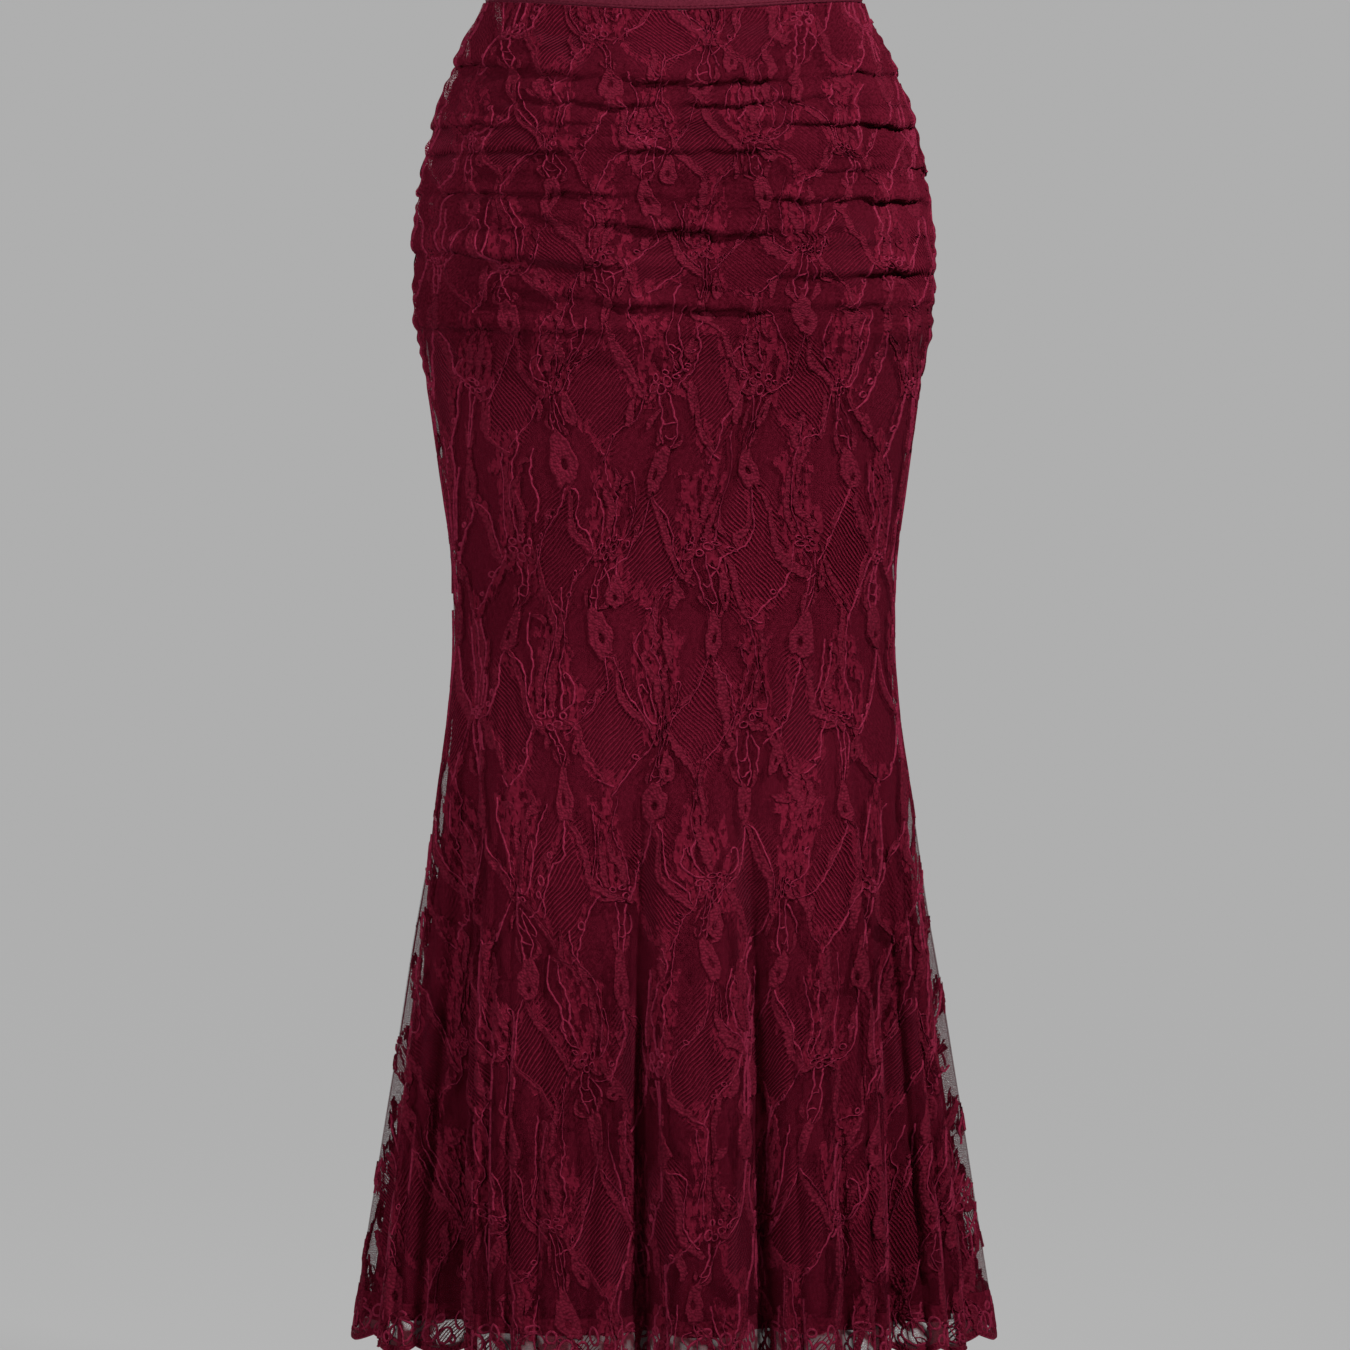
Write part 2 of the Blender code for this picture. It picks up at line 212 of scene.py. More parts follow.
def flare_fold(side, around, z, folds=FOLDS):
    """How far the flare's valleys draw the cloth in at a point."""
    drawn = np.zeros_like(around)
    for fold in folds[side]:
        share = np.clip((fold["top_z"] - z) / (fold["top_z"] - HEM), 0, 1)
        middle = fold["top_at"] + (fold["hem_at"] - fold["top_at"]) * share
        deepening = fold["depth"] * np.sin(share * math.pi / 2) ** FOLD_DEEPENING
        away = (around - middle) / fold["width"]
        drawn -= deepening * CREST_SHARE * np.exp(-(away**2))
        crest = np.where(away > 0, CREST_RIGHT, CREST_LEFT)
        drawn -= deepening * CREST_DEPTH * np.exp(-((away / crest) ** 2))
    return drawn


def form(side, around, z):
    """The smooth form with the flare's folds."""
    drawn = flare_fold(side, around, z)
    return plain_ring(side, around, z) + outward(side, plain_ring, around, z) * drawn[..., None]


def surface(side, around, z, offset):
    """Points on the form, moved out by an offset, with the waist's dip in front."""
    around, z, offset = np.broadcast_arrays(np.asarray(around, float), z, offset)
    level = form(side, around, z) + outward(side, form, around, z) * offset[..., None]
    dip = np.zeros_like(around)
    if side == FRONT:
        dip = FRONT_DIP * np.cos(around * math.pi / 2) ** 2 * ease(1 + (z - BAND_FOOT) / DIP_REACH)
    return np.concatenate((level, (z - dip)[..., None]), axis=-1)


print("hips %.0f mm wide" % (2000 * float(LEVEL["half_width"](HIPS_AT))))

# %% [markdown]
# ## Ruching and creases
#
# The lace is longer than the skirt at the hips and is gathered into the side seams there, so it puffs up
# between long creases. The solids have these puffs. Here they get a sharper lower edge, where the cloth
# folds over the crease below it. Short creases, the small puckers at each seam, and the thin folds in which
# the lace hangs on the flare are added from tables, all uneven, as gathered cloth is.

# %% Long creases
CREASE_COLUMNS = ("left", "middle", "right", "left_press", "middle_press", "right_press")
CREASE_PLACES, CREASE_REACH = 0.58, 1.2
FRONT_CREASES = (
    (-0.0290, -0.0360, -0.0430, 0.1, 0.4, 0.1),
    (-0.0580, -0.0645, -0.0620, 1.0, 1.0, 0.7),
    (-0.0770, -0.0810, -0.0755, 0.1, 0.9, 0.2),
    (-0.0950, -0.0940, -0.0945, 0.7, 0.1, 0.9),
    (-0.1130, -0.1130, -0.1130, 0.5, 0.6, 0.2),
    (-0.1270, -0.1290, -0.1240, 0.1, 0.1, 0.6),
    (-0.1390, -0.1425, -0.1440, 0.9, 0.3, 0.9),
    (-0.1520, -0.1640, -0.1655, 0.1, 1.0, 0.2),
    (-0.1820, -0.1925, -0.1930, 1.0, 0.2, 0.8),
    (-0.2015, -0.2140, -0.2135, 0.3, 0.9, 0.6),
    (-0.2290, -0.2320, -0.2350, 0.6, 0.2, 0.2),
)
BACK_CREASES = (
    (-0.0330, -0.0370, -0.0300, 0.4, 0.1, 0.5),
    (-0.0560, -0.0610, -0.0570, 1.0, 0.8, 0.9),
    (-0.0770, -0.0830, -0.0740, 0.1, 0.9, 0.1),
    (-0.0960, -0.1010, -0.0950, 0.9, 0.1, 0.8),
    (-0.1120, -0.1200, -0.1150, 0.1, 0.8, 0.2),
    (-0.1310, -0.1370, -0.1300, 0.9, 0.2, 1.0),
    (-0.1500, -0.1580, -0.1480, 0.2, 1.0, 0.1),
    (-0.1690, -0.1760, -0.1700, 0.9, 0.1, 0.8),
    (-0.1880, -0.1960, -0.1900, 0.1, 0.9, 0.2),
    (-0.2100, -0.2160, -0.2080, 0.8, 0.2, 0.8),
    (-0.2310, -0.2370, -0.2300, 0.3, 0.7, 0.2),
)
CREASES = both_sides(CREASE_COLUMNS, FRONT_CREASES, BACK_CREASES)
CREASE_WANDER, WANDER_WAVES = 0.0024, ((0.47, 0.043, 1.0), (0.23, 0.031, 2.0), (0.11, 0.057, 0.5))
PRESS_MIDDLE, PRESS_SWING, PRESS_WAVES = 0.72, 0.55, ((0.83, 0.052, 2.0), (0.37, -0.047, 0.7))
BAND_PRESS, LEAST_PRESS = 0.8, 0.03
PUFF, PUFF_AT_BAND, PUFF_AT_SEAM = 0.0052, 0.30, 0.45
PUFF_GROWS_OVER, PUFF_SEAM_POWER = 0.03, 8
PUFF_FADE = (-0.222, -0.262)
CREASE_BELOW, CREASE_ABOVE = 0.50, 0.11
LIP_DROOP, LIP_REACH = 0.60, 0.34
LIP_AT, LIP_HALF, LIP_STAND = 0.25, 0.15, 0.0026
print(len(FRONT_CREASES) + len(BACK_CREASES), "long creases")

# %% [markdown]
# Short creases lie between the long ones. A row says where the middle lies, half the length as a share of
# the way round, how much it climbs to the right over that length, half its width, and its depth.

# %% Short creases
SHORT_COLUMNS = ("at", "z", "reach", "climb", "width", "depth")
FRONT_SHORT = (
    (-0.52, -0.0440, 0.16, 0.004, 0.0026, 0.0012),
    (0.30, -0.0500, 0.20, -0.005, 0.0028, 0.0014),
    (-0.10, -0.0730, 0.14, 0.003, 0.0022, 0.0012),
    (0.62, -0.0860, 0.18, 0.004, 0.0024, 0.0014),
    (-0.66, -0.0860, 0.20, -0.006, 0.0028, 0.0016),
    (-0.30, -0.1035, 0.17, 0.003, 0.0022, 0.0012),
    (0.40, -0.1220, 0.14, 0.004, 0.0022, 0.0013),
    (0.08, -0.1500, 0.22, -0.004, 0.0026, 0.0015),
    (-0.55, -0.1650, 0.20, -0.006, 0.0030, 0.0016),
    (0.56, -0.1760, 0.22, 0.005, 0.0028, 0.0015),
    (-0.12, -0.1790, 0.16, 0.003, 0.0026, 0.0014),
    (0.20, -0.2035, 0.18, -0.004, 0.0026, 0.0013),
    (-0.50, -0.2160, 0.22, -0.006, 0.0030, 0.0015),
    (0.66, -0.2240, 0.16, 0.005, 0.0026, 0.0013),
    (-0.70, -0.2480, 0.20, -0.010, 0.0034, 0.0013),
    (0.62, -0.2500, 0.24, 0.009, 0.0036, 0.0013),
    (-0.20, -0.2520, 0.24, -0.004, 0.0040, 0.0012),
    (0.34, -0.2700, 0.20, 0.005, 0.0044, 0.0009),
)
BACK_SHORT = (
    (-0.40, -0.0460, 0.18, 0.004, 0.0026, 0.0013),
    (0.45, -0.0470, 0.20, -0.004, 0.0028, 0.0013),
    (0.10, -0.0700, 0.16, 0.003, 0.0024, 0.0012),
    (-0.62, -0.0870, 0.20, -0.005, 0.0028, 0.0015),
    (0.58, -0.0860, 0.18, 0.005, 0.0026, 0.0014),
    (-0.20, -0.1100, 0.18, 0.003, 0.0024, 0.0012),
    (0.30, -0.1290, 0.20, -0.004, 0.0026, 0.0014),
    (-0.58, -0.1420, 0.18, 0.005, 0.0028, 0.0015),
    (0.60, -0.1620, 0.20, 0.004, 0.0026, 0.0014),
    (0.02, -0.1680, 0.20, -0.003, 0.0026, 0.0013),
    (-0.46, -0.1990, 0.22, -0.006, 0.0030, 0.0015),
    (0.44, -0.2050, 0.22, 0.006, 0.0030, 0.0014),
    (-0.05, -0.2270, 0.22, 0.003, 0.0032, 0.0013),
    (-0.62, -0.2470, 0.22, -0.009, 0.0034, 0.0013),
    (0.64, -0.2490, 0.22, 0.009, 0.0034, 0.0013),
    (0.16, -0.2560, 0.24, -0.004, 0.0040, 0.0011),
)
SHORT = both_sides(SHORT_COLUMNS, FRONT_SHORT, BACK_SHORT)
print(len(FRONT_SHORT) + len(BACK_SHORT), "short creases")

# %% [markdown]
# The lace alone hangs in thin folds, mostly near the sides. They have the columns of the flare's folds.

# %% Thin folds
FRONT_THIN = (
    (-0.93, -0.80, 0.016, 0.0050, -0.520),
    (-0.89, -0.745, 0.016, 0.0050, -0.470),
    (-0.85, -0.690, 0.015, 0.0054, -0.440),
    (-0.79, -0.590, 0.015, 0.0052, -0.430),
    (-0.73, -0.545, 0.014, 0.0046, -0.420),
    (-0.66, -0.490, 0.016, 0.0050, -0.440),
    (-0.58, -0.430, 0.012, 0.0040, -0.480),
    (-0.44, -0.360, 0.016, 0.0032, -0.560),
    (-0.07, -0.030, 0.014, 0.0038, -0.620),
    (0.12, 0.110, 0.018, 0.0030, -0.600),
    (0.40, 0.345, 0.014, 0.0036, -0.560),
    (0.62, 0.535, 0.013, 0.0046, -0.470),
    (0.69, 0.580, 0.011, 0.0050, -0.430),
    (0.80, 0.680, 0.012, 0.0054, -0.420),
    (0.85, 0.735, 0.013, 0.0052, -0.450),
    (0.91, 0.800, 0.013, 0.0048, -0.500),
)
BACK_THIN = (
    (-0.89, -0.75, 0.013, 0.0050, -0.480),
    (-0.82, -0.69, 0.012, 0.0054, -0.430),
    (-0.75, -0.62, 0.012, 0.0048, -0.440),
    (-0.58, -0.49, 0.014, 0.0042, -0.500),
    (-0.24, -0.20, 0.015, 0.0036, -0.600),
    (0.04, 0.02, 0.014, 0.0036, -0.620),
    (0.32, 0.25, 0.015, 0.0038, -0.560),
    (0.56, 0.46, 0.013, 0.0044, -0.480),
    (0.70, 0.58, 0.012, 0.0050, -0.440),
    (0.80, 0.69, 0.012, 0.0054, -0.430),
    (0.89, 0.76, 0.013, 0.0048, -0.480),
)
THIN = both_sides(FOLD_COLUMNS, FRONT_THIN, BACK_THIN)
print(len(FRONT_THIN) + len(BACK_THIN), "thin folds")

# %% Relief of the gathered lace
PUCKER_PITCH, PUCKER_REACH, PUCKER_DEPTH, PUCKER_DRIFT = 0.0125, 0.11, 0.0016, 0.45
PUCKERS_START_OVER, PUCKERS_END, PUCKERS_END_OVER = 0.03, -0.235, 0.05
UNEVEN_STAND, UNEVEN_FROM, UNEVEN_OVER = 0.0005, -0.25, 0.1
UNEVEN_WAVES = ((0.37, 0.21, 0.3), (0.23, -0.15, 1.9), (0.61, 0.11, 4.0))


def across_panel(left, middle, right, around):
    """A value given on the left, in the middle and on the right, on one smooth curve over the panel."""
    t = np.clip(around / CREASE_PLACES, -CREASE_REACH, CREASE_REACH)
    return left * t * (t - 1) / 2 + middle * (1 - t * t) + right * t * (t + 1) / 2


def wavy(x, y, *waves):
    """A smooth uneven value: a sum of waves, each with its two pitches and its phase."""
    return sum(np.sin(2 * math.pi * (x / a + y / b) + phase) for a, b, phase in waves) / len(waves)


def puffs(side, around, z):
    """How far the ruching stands off the form, and how far its lips sag over the creases below them."""
    lines = [(np.full_like(around, BAND_FOOT - SEAM_GAP), np.full_like(around, BAND_PRESS))]
    for crease in CREASES[side]:
        height = across_panel(crease["left"], crease["middle"], crease["right"], around)
        height = height + CREASE_WANDER * wavy(around, height, *WANDER_WAVES)
        press = across_panel(crease["left_press"], crease["middle_press"], crease["right_press"], around)
        press = press * (PRESS_MIDDLE + PRESS_SWING * wavy(around, height, *PRESS_WAVES))
        lines.append((height, np.clip(press, LEAST_PRESS, 1)))
    lines.append((np.full_like(around, PUFF_FADE[1]), np.ones_like(around)))
    stand = PUFF_AT_BAND + (1 - PUFF_AT_BAND) * ease((BAND_FOOT - z) / PUFF_GROWS_OVER)
    stand = stand * (1 - ease((PUFF_FADE[0] - z) / (PUFF_FADE[0] - PUFF_FADE[1])))
    stand = stand * (1 - (1 - PUFF_AT_SEAM) * np.abs(around) ** PUFF_SEAM_POWER)
    relief, sag = np.zeros_like(around), np.zeros_like(around)
    for (upper, press_above), (lower, press_below) in zip(lines[:-1], lines[1:]):
        share = (upper - z) / np.maximum(upper - lower, 1e-6)
        inside = (share >= 0) & (share < 1)
        drawn = press_above * np.exp(-((share / CREASE_BELOW) ** 2))
        drawn += press_below * np.exp(-(((1 - share) / CREASE_ABOVE) ** 2))
        edge = LIP_STAND * press_below * np.exp(-(((1 - share - LIP_AT) / LIP_HALF) ** 2))
        relief = np.where(inside, stand * (PUFF * (1 - np.clip(drawn, 0, 1)) + edge), relief)
        lip = press_below * np.exp(-(((1 - share) / LIP_REACH) ** 2))
        sag = np.where(inside, LIP_DROOP * relief * lip, sag)
    return relief, sag


def short_creases(side, around, z):
    """How far the short creases press the cloth in."""
    pressed = np.zeros_like(around)
    for crease in SHORT[side]:
        t = (around - crease["at"]) / crease["reach"]
        height = crease["z"] + crease["climb"] * t
        pressed += crease["depth"] * np.exp(-t * t) * np.exp(-(((z - height) / crease["width"]) ** 2))
    return pressed


def seam_puckers(around, z):
    """The small puckers that the side seams draw in the ruched part."""
    near = np.exp(-(1 - np.abs(around)) / PUCKER_REACH)
    zone = ease((BAND_FOOT - z) / PUCKERS_START_OVER) * (1 - ease((PUCKERS_END - z) / PUCKERS_END_OVER))
    drift = wavy(z, around, (0.083, 3.0, 0.4), (0.047, -2.0, np.sign(around) * 1.7))
    wave = np.sin(2 * math.pi * (z / PUCKER_PITCH + PUCKER_DRIFT * drift) + np.sign(around))
    return PUCKER_DEPTH * near * zone * (0.5 + 0.5 * wave)


def lace_relief(side, around, z):
    """How far the lace stands off the form at a point, with all its creases, and how far it sags there."""
    relief, sag = puffs(side, around, z)
    relief = relief - np.minimum(short_creases(side, around, z), relief + LACE_CLEAR)
    relief = relief + seam_puckers(around, z) + flare_fold(side, around, z, THIN)
    uneven = UNEVEN_STAND * wavy(around, z, *UNEVEN_WAVES)
    return relief + uneven * ease((UNEVEN_FROM - z) / UNEVEN_OVER), sag


print("deepest puff %.1f mm" % (1000 * PUFF))

# %% [markdown]
# ## Finding a place on the cloth
#
# Lace flowers keep their size wherever they lie on the skirt, so they are laid out in the cloth's own
# measure: how far from the middle of the panel along the cloth, and how far down from the waistband along
# the cloth. In the ruched part more cloth goes into each height. One fine table per panel turns these
# lengths into points in space, with the direction straight off the cloth, and every piece of lace is laid
# through it.

# %% Measure the panels
TABLE_ROWS, TABLE_COLUMNS = 620, 641
TABLE_RUNS = 901
WIDEST_RUN = 0.45
GATHERED, GATHERS_START_OVER = 0.45, 0.02
RUCHED_FOOT, RUCHED_ENDS_OVER = -0.215, 0.05
NET_STAND = LACE_CLEAR + 0.0006


def ruched_share(z):
    """How much of the ruching is left at a height."""
    return 1 - ease((RUCHED_FOOT - z) / RUCHED_ENDS_OVER)


def gather_share(z):
    """The same, but starting softly under the waistband."""
    return ease((BAND_FOOT - z) / GATHERS_START_OVER) * ruched_share(z)


def measure_panel(side):
    """A table of the lace panel: points, directions off the cloth, and lengths along the cloth."""
    heights = np.linspace(BAND_FOOT - SEAM_GAP, HEM, TABLE_ROWS)
    around = np.linspace(-1, 1, TABLE_COLUMNS)
    a, z = np.meshgrid(around, heights)
    relief, sag = lace_relief(side, a, z)
    points = surface(side, a, z, NET_STAND + relief)
    points[..., 2] -= sag
    down, along = np.gradient(points, axis=0), np.gradient(points, axis=1)
    normals = -side * np.cross(down, along)
    normals /= np.linalg.norm(normals, axis=-1, keepdims=True)
    steps = np.linalg.norm(np.diff(points, axis=1), axis=-1)
    run = np.concatenate((np.zeros((TABLE_ROWS, 1)), np.cumsum(steps, axis=1)), axis=1)
    run -= run[:, TABLE_COLUMNS // 2][:, None]
    runs = np.linspace(-WIDEST_RUN, WIDEST_RUN, TABLE_RUNS)
    around_at = np.stack([np.interp(runs, row, around) for row in run])
    fall = -np.diff(heights) * (1 + GATHERED * gather_share(heights[1:]))
    down_cloth = np.concatenate(([0], np.cumsum(fall)))
    return {"heights": heights, "around": around, "points": points, "normals": normals, "run": run,
            "around_at": around_at, "down_cloth": down_cloth}


def between(table, row, column):
    """Values of a table between its rows and columns."""
    i = np.clip(row.astype(int), 0, table.shape[0] - 2)
    j = np.clip(column.astype(int), 0, table.shape[1] - 2)
    s, t = row - i, column - j
    if table.ndim == 3:
        s, t = s[..., None], t[..., None]
    upper = table[i, j] * (1 - t) + table[i, j + 1] * t
    lower = table[i + 1, j] * (1 - t) + table[i + 1, j + 1] * t
    return upper * (1 - s) + lower * s


def row_of(panel, z):
    """The row of a panel's table at a height."""
    return np.clip((panel["heights"][0] - z) / (panel["heights"][0] - HEM), 0, 1) * (TABLE_ROWS - 1)


def lay(panel, around, z, stand):
    """Points on a panel, a distance off its cloth. Below the last row they hang straight on."""
    row, column = row_of(panel, z), (around + 1) / 2 * (TABLE_COLUMNS - 1)
    points = between(panel["points"], row, column)
    normals = between(panel["normals"], row, column)
    points = points + normals * np.asarray(stand)[..., None]
    points[..., 2] += np.minimum(z - HEM, 0)
    return points


def around_of(panel, run, z):
    """The share of the way round at lengths along the cloth and heights, held at the side seams."""
    column = (run + WIDEST_RUN) / (2 * WIDEST_RUN) * (TABLE_RUNS - 1)
    return between(panel["around_at"], row_of(panel, z), np.clip(column, 0, TABLE_RUNS - 1))


def height_at(panel, down):
    """The height at a length down the cloth."""
    return np.interp(down, panel["down_cloth"], panel["heights"])


def cloth_down(panel, z):
    """The length down the cloth at a height."""
    return np.interp(-z, -panel["heights"], panel["down_cloth"])


def seams_at(panel, down):
    """Where the left seam lies along the cloth, as a negative length, and the right one."""
    return [np.interp(down, panel["down_cloth"], panel["run"][:, end]) for end in (0, -1)]


PANELS = {side: measure_panel(side) for side in (FRONT, BACK)}
for side, panel in PANELS.items():
    print("panel", side, "cloth length %.3f m," % panel["down_cloth"][-1],
          "hem %.3f m" % (panel["run"][-1, -1] - panel["run"][-1, 0]))

# %% [markdown]
# ## Making meshes
#
# Pieces this fine are built straight from arrays of points and four-sided faces. Each lace point also
# carries its place on the cloth, so that weave and ribs follow the cloth and not the room.

# %% Mesh helper


def make_piece(name, points, faces, materials, cloth, kinds=None):
    """A smooth mesh piece from arrays, with one named material for each kind of face."""
    mesh = bpy.data.meshes.new(name)
    mesh.from_pydata(points.reshape(-1, 3).tolist(), [], faces.tolist())
    for material in materials:
        mesh.materials.append(MATERIALS[material])
    if kinds is not None:
        mesh.polygons.foreach_set("material_index", kinds.astype(np.int32))
    mesh.attributes.new("cloth", "FLOAT_VECTOR", "POINT").data.foreach_set("vector", cloth.ravel())
    mesh.shade_smooth()
    piece = bpy.data.objects.new(name, mesh)
    bpy.context.scene.collection.objects.link(piece)
    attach(piece, "root")
    print(name, len(mesh.vertices), "points,", sum(len(p.vertices) - 2 for p in mesh.polygons), "triangles")
    return piece


def grid_faces(rows, columns, flip=False):
    """The faces of a grid of points, row by row."""
    corner = np.arange(rows - 1)[:, None] * columns + np.arange(columns - 1)[None, :]
    faces = np.stack((corner, corner + columns, corner + columns + 1, corner + 1), axis=-1).reshape(-1, 4)
    return faces[:, ::-1] if flip else faces


def together(*values):
    """Numbers or arrays side by side, as the coordinates of points."""
    return np.stack(np.broadcast_arrays(*values), axis=-1)


# %% [markdown]
# ## Finishes
#
# Cloth is a mix of small things: the grain of its thread, a tone that drifts over the dyed cloth and has
# light and shade painted on it from the relief, and the net's ribs. Each is a node group, built once and used
# with its own values in the materials. The place on the cloth comes from the attribute that the meshes carry.

# %% Node helpers


def feed(tree, node, inputs):
    """Give a node's inputs as values, or as sockets to link."""
    for key, value in inputs.items():
        if isinstance(value, bpy.types.NodeSocket):
            tree.links.new(value, node.inputs[key])
        else:
            node.inputs[key].default_value = value
    return node


def add_node(tree, kind, inputs=None, **settings):
    """A node with its settings and its inputs."""
    node = tree.nodes.new(kind)
    for name, value in settings.items():
        setattr(node, name, value)
    return feed(tree, node, inputs or {})


def sums_in(tree):
    """A short way to write the sums of one tree."""
    def node(operation, a, b=0.0, clamp=False):
        return add_node(tree, "ShaderNodeMath", {0: a, 1: b}, operation=operation, use_clamp=clamp).outputs[0]

    return node


def flat_noise(tree, place, scale, detail):
    """Noise over the flat cloth. Two numbers say where, so it takes less time than noise in space."""
    noise = add_node(tree, "ShaderNodeTexNoise", {"Vector": place, "Scale": scale, "Detail": detail},
                     noise_dimensions="2D")
    return noise.outputs[0]


def new_group(name, inputs, outputs):
    """A shader node group with named sockets, each given as (name, kind, default)."""
    tree = bpy.data.node_groups.new(name, "ShaderNodeTree")
    for title, kind, default in inputs:
        socket = tree.interface.new_socket(name=title, in_out="INPUT", socket_type=kind)
        if default is not None:
            socket.default_value = default
    for title, kind in outputs:
        tree.interface.new_socket(name=title, in_out="OUTPUT", socket_type=kind)
    return tree, tree.nodes.new("NodeGroupInput"), tree.nodes.new("NodeGroupOutput")


FLOAT, VECTOR, COLOUR = "NodeSocketFloat", "NodeSocketVector", "NodeSocketColor"

# %% Thread grain
COARSENESS = 0.3


def build_thread_grain():
    """Fine uneven threads: how high the surface stands, from 0 to 1."""
    tree, given, result = new_group(
        "thread grain", [("Place", VECTOR, None), ("Pitch", FLOAT, 0.0009)], [("Height", FLOAT)])
    do, place = sums_in(tree), given.outputs["Place"]
    scale = do("DIVIDE", 1.0, given.outputs["Pitch"])
    cells = add_node(tree, "ShaderNodeTexVoronoi", {"Vector": place, "Scale": scale}, voronoi_dimensions="2D")
    noise = flat_noise(tree, place, do("MULTIPLY", scale, COARSENESS), 2.0)
    cell_height = do("SUBTRACT", 1.0, cells.outputs["Distance"], clamp=True)
    feed(tree, result, {"Height": do("MULTIPLY", cell_height, do("ADD", noise, 0.5))})
    return tree


THREAD_GRAIN = build_thread_grain()

# %% Cloth tone, with painted light and shade on the relief
TONE_DRIFT_SCALE, TONE_DRIFT, FLECK_SCALE, FLECK = 9.0, 0.5, 420.0, 1.1
PAINTED_RELIEF_SHADE = 0.5


def mix_colours(tree, share, dark, light):
    return add_node(tree, "ShaderNodeMix", {0: share, 6: dark, 7: light}, data_type="RGBA").outputs[2]


def build_cloth_tone_and_relief_shade():
    """A colour that drifts softly between two dye tones over the cloth, with fine flecks of thread. Light and
    shade are painted on it too: where the given height stands high it is lighter, where it lies low darker.
    """
    tree, given, result = new_group(
        "cloth tone and painted relief shade",
        [("Place", VECTOR, None), ("Dark", COLOUR, (0, 0, 0, 1)), ("Light", COLOUR, (1, 1, 1, 1)),
         ("Height", FLOAT, 0.5)],
        [("Color", COLOUR)])
    do, place = sums_in(tree), given.outputs["Place"]
    drift = flat_noise(tree, place, TONE_DRIFT_SCALE, 1.0)
    fleck = flat_noise(tree, place, FLECK_SCALE, 1.0)
    share = do("ADD", do("MULTIPLY", drift, TONE_DRIFT), do("MULTIPLY", fleck, FLECK))
    # Painted light and shade: the higher the relief, the lighter the colour.
    raised = do("MULTIPLY", given.outputs["Height"], PAINTED_RELIEF_SHADE)
    share = do("ADD", share, do("SUBTRACT", raised, 0.5), clamp=True)
    feed(tree, result, {"Color": mix_colours(tree, share, given.outputs["Dark"], given.outputs["Light"])})
    return tree


CLOTH_TONE_AND_RELIEF_SHADE = build_cloth_tone_and_relief_shade()

# %% Ribbed net
RIB_PITCH, RIB_ANGLE, RIB_RELIEF, RIB_COVER = 0.00235, math.radians(48), 1.0, 1.1
BEND_SCALE, BEND = 60.0, 1.6
MESH_PITCH, MESH_FINENESS, THREAD_COVER, LEAST_COVER = 0.0013, 4.2, 0.95, 0.06
THREAD_RELIEF, FULL_THREAD = 0.16, 1.15
RAGGED_SCALE, RAGGED_SIZE, UPRIGHT_STRETCH = 210.0, 1.9, 0.45
EDGE_AT, EDGE_SHARPNESS, RIM_AT, RIM_SHARPNESS = 0.4, 5.0, 0.62, 5.5
CLOSE_RELIEF, RIM_RELIEF = 0.55, 0.40
SLIT_SCALE, SLIT_LEVEL, SLIT_SHARPNESS = 330.0, 0.43, 9.0


def slanting_ribs(tree, place, slant, strength):
    """Ribs that slant across the cloth one way or the other, and bend a little."""
    do = sums_in(tree)
    parts = add_node(tree, "ShaderNodeSeparateXYZ", {0: place})
    across = do("MULTIPLY", parts.outputs["X"], math.sin(RIB_ANGLE) / RIB_PITCH)
    down = do("MULTIPLY", parts.outputs["Y"], math.cos(RIB_ANGLE) / RIB_PITCH)
    phase = do("ADD", across, do("MULTIPLY", down, slant))
    phase = do("ADD", phase, do("MULTIPLY", flat_noise(tree, place, BEND_SCALE, 0.0), BEND))
    wave = do("SINE", do("MULTIPLY", phase, 2 * math.pi))
    return do("MULTIPLY", do("ADD", do("MULTIPLY", wave, 0.5), 0.5), strength)


def close_work(tree, place, leaf):
    """Ragged patches of close work with small slits, all drawn out upright, and the patches' raised rims."""
    do = sums_in(tree)
    upright = add_node(tree, "ShaderNodeVectorMath", {0: place, 1: (1.0, UPRIGHT_STRETCH, 1.0)},
                       operation="MULTIPLY").outputs[0]
    ragged = do("SUBTRACT", flat_noise(tree, upright, RAGGED_SCALE, 3.0), 0.5)
    slits = do("SUBTRACT", SLIT_LEVEL, flat_noise(tree, upright, SLIT_SCALE, 1.0))
    field = do("ADD", leaf, do("MULTIPLY", ragged, RAGGED_SIZE))
    close = do("MULTIPLY", do("SUBTRACT", field, EDGE_AT), EDGE_SHARPNESS, clamp=True)
    from_rim = do("ABSOLUTE", do("SUBTRACT", field, RIM_AT))
    rim = do("SUBTRACT", 1.0, do("MULTIPLY", from_rim, RIM_SHARPNESS), clamp=True)
    slit = do("MULTIPLY", slits, SLIT_SHARPNESS, clamp=True)
    return do("MULTIPLY", close, do("SUBTRACT", 1.0, slit)), rim


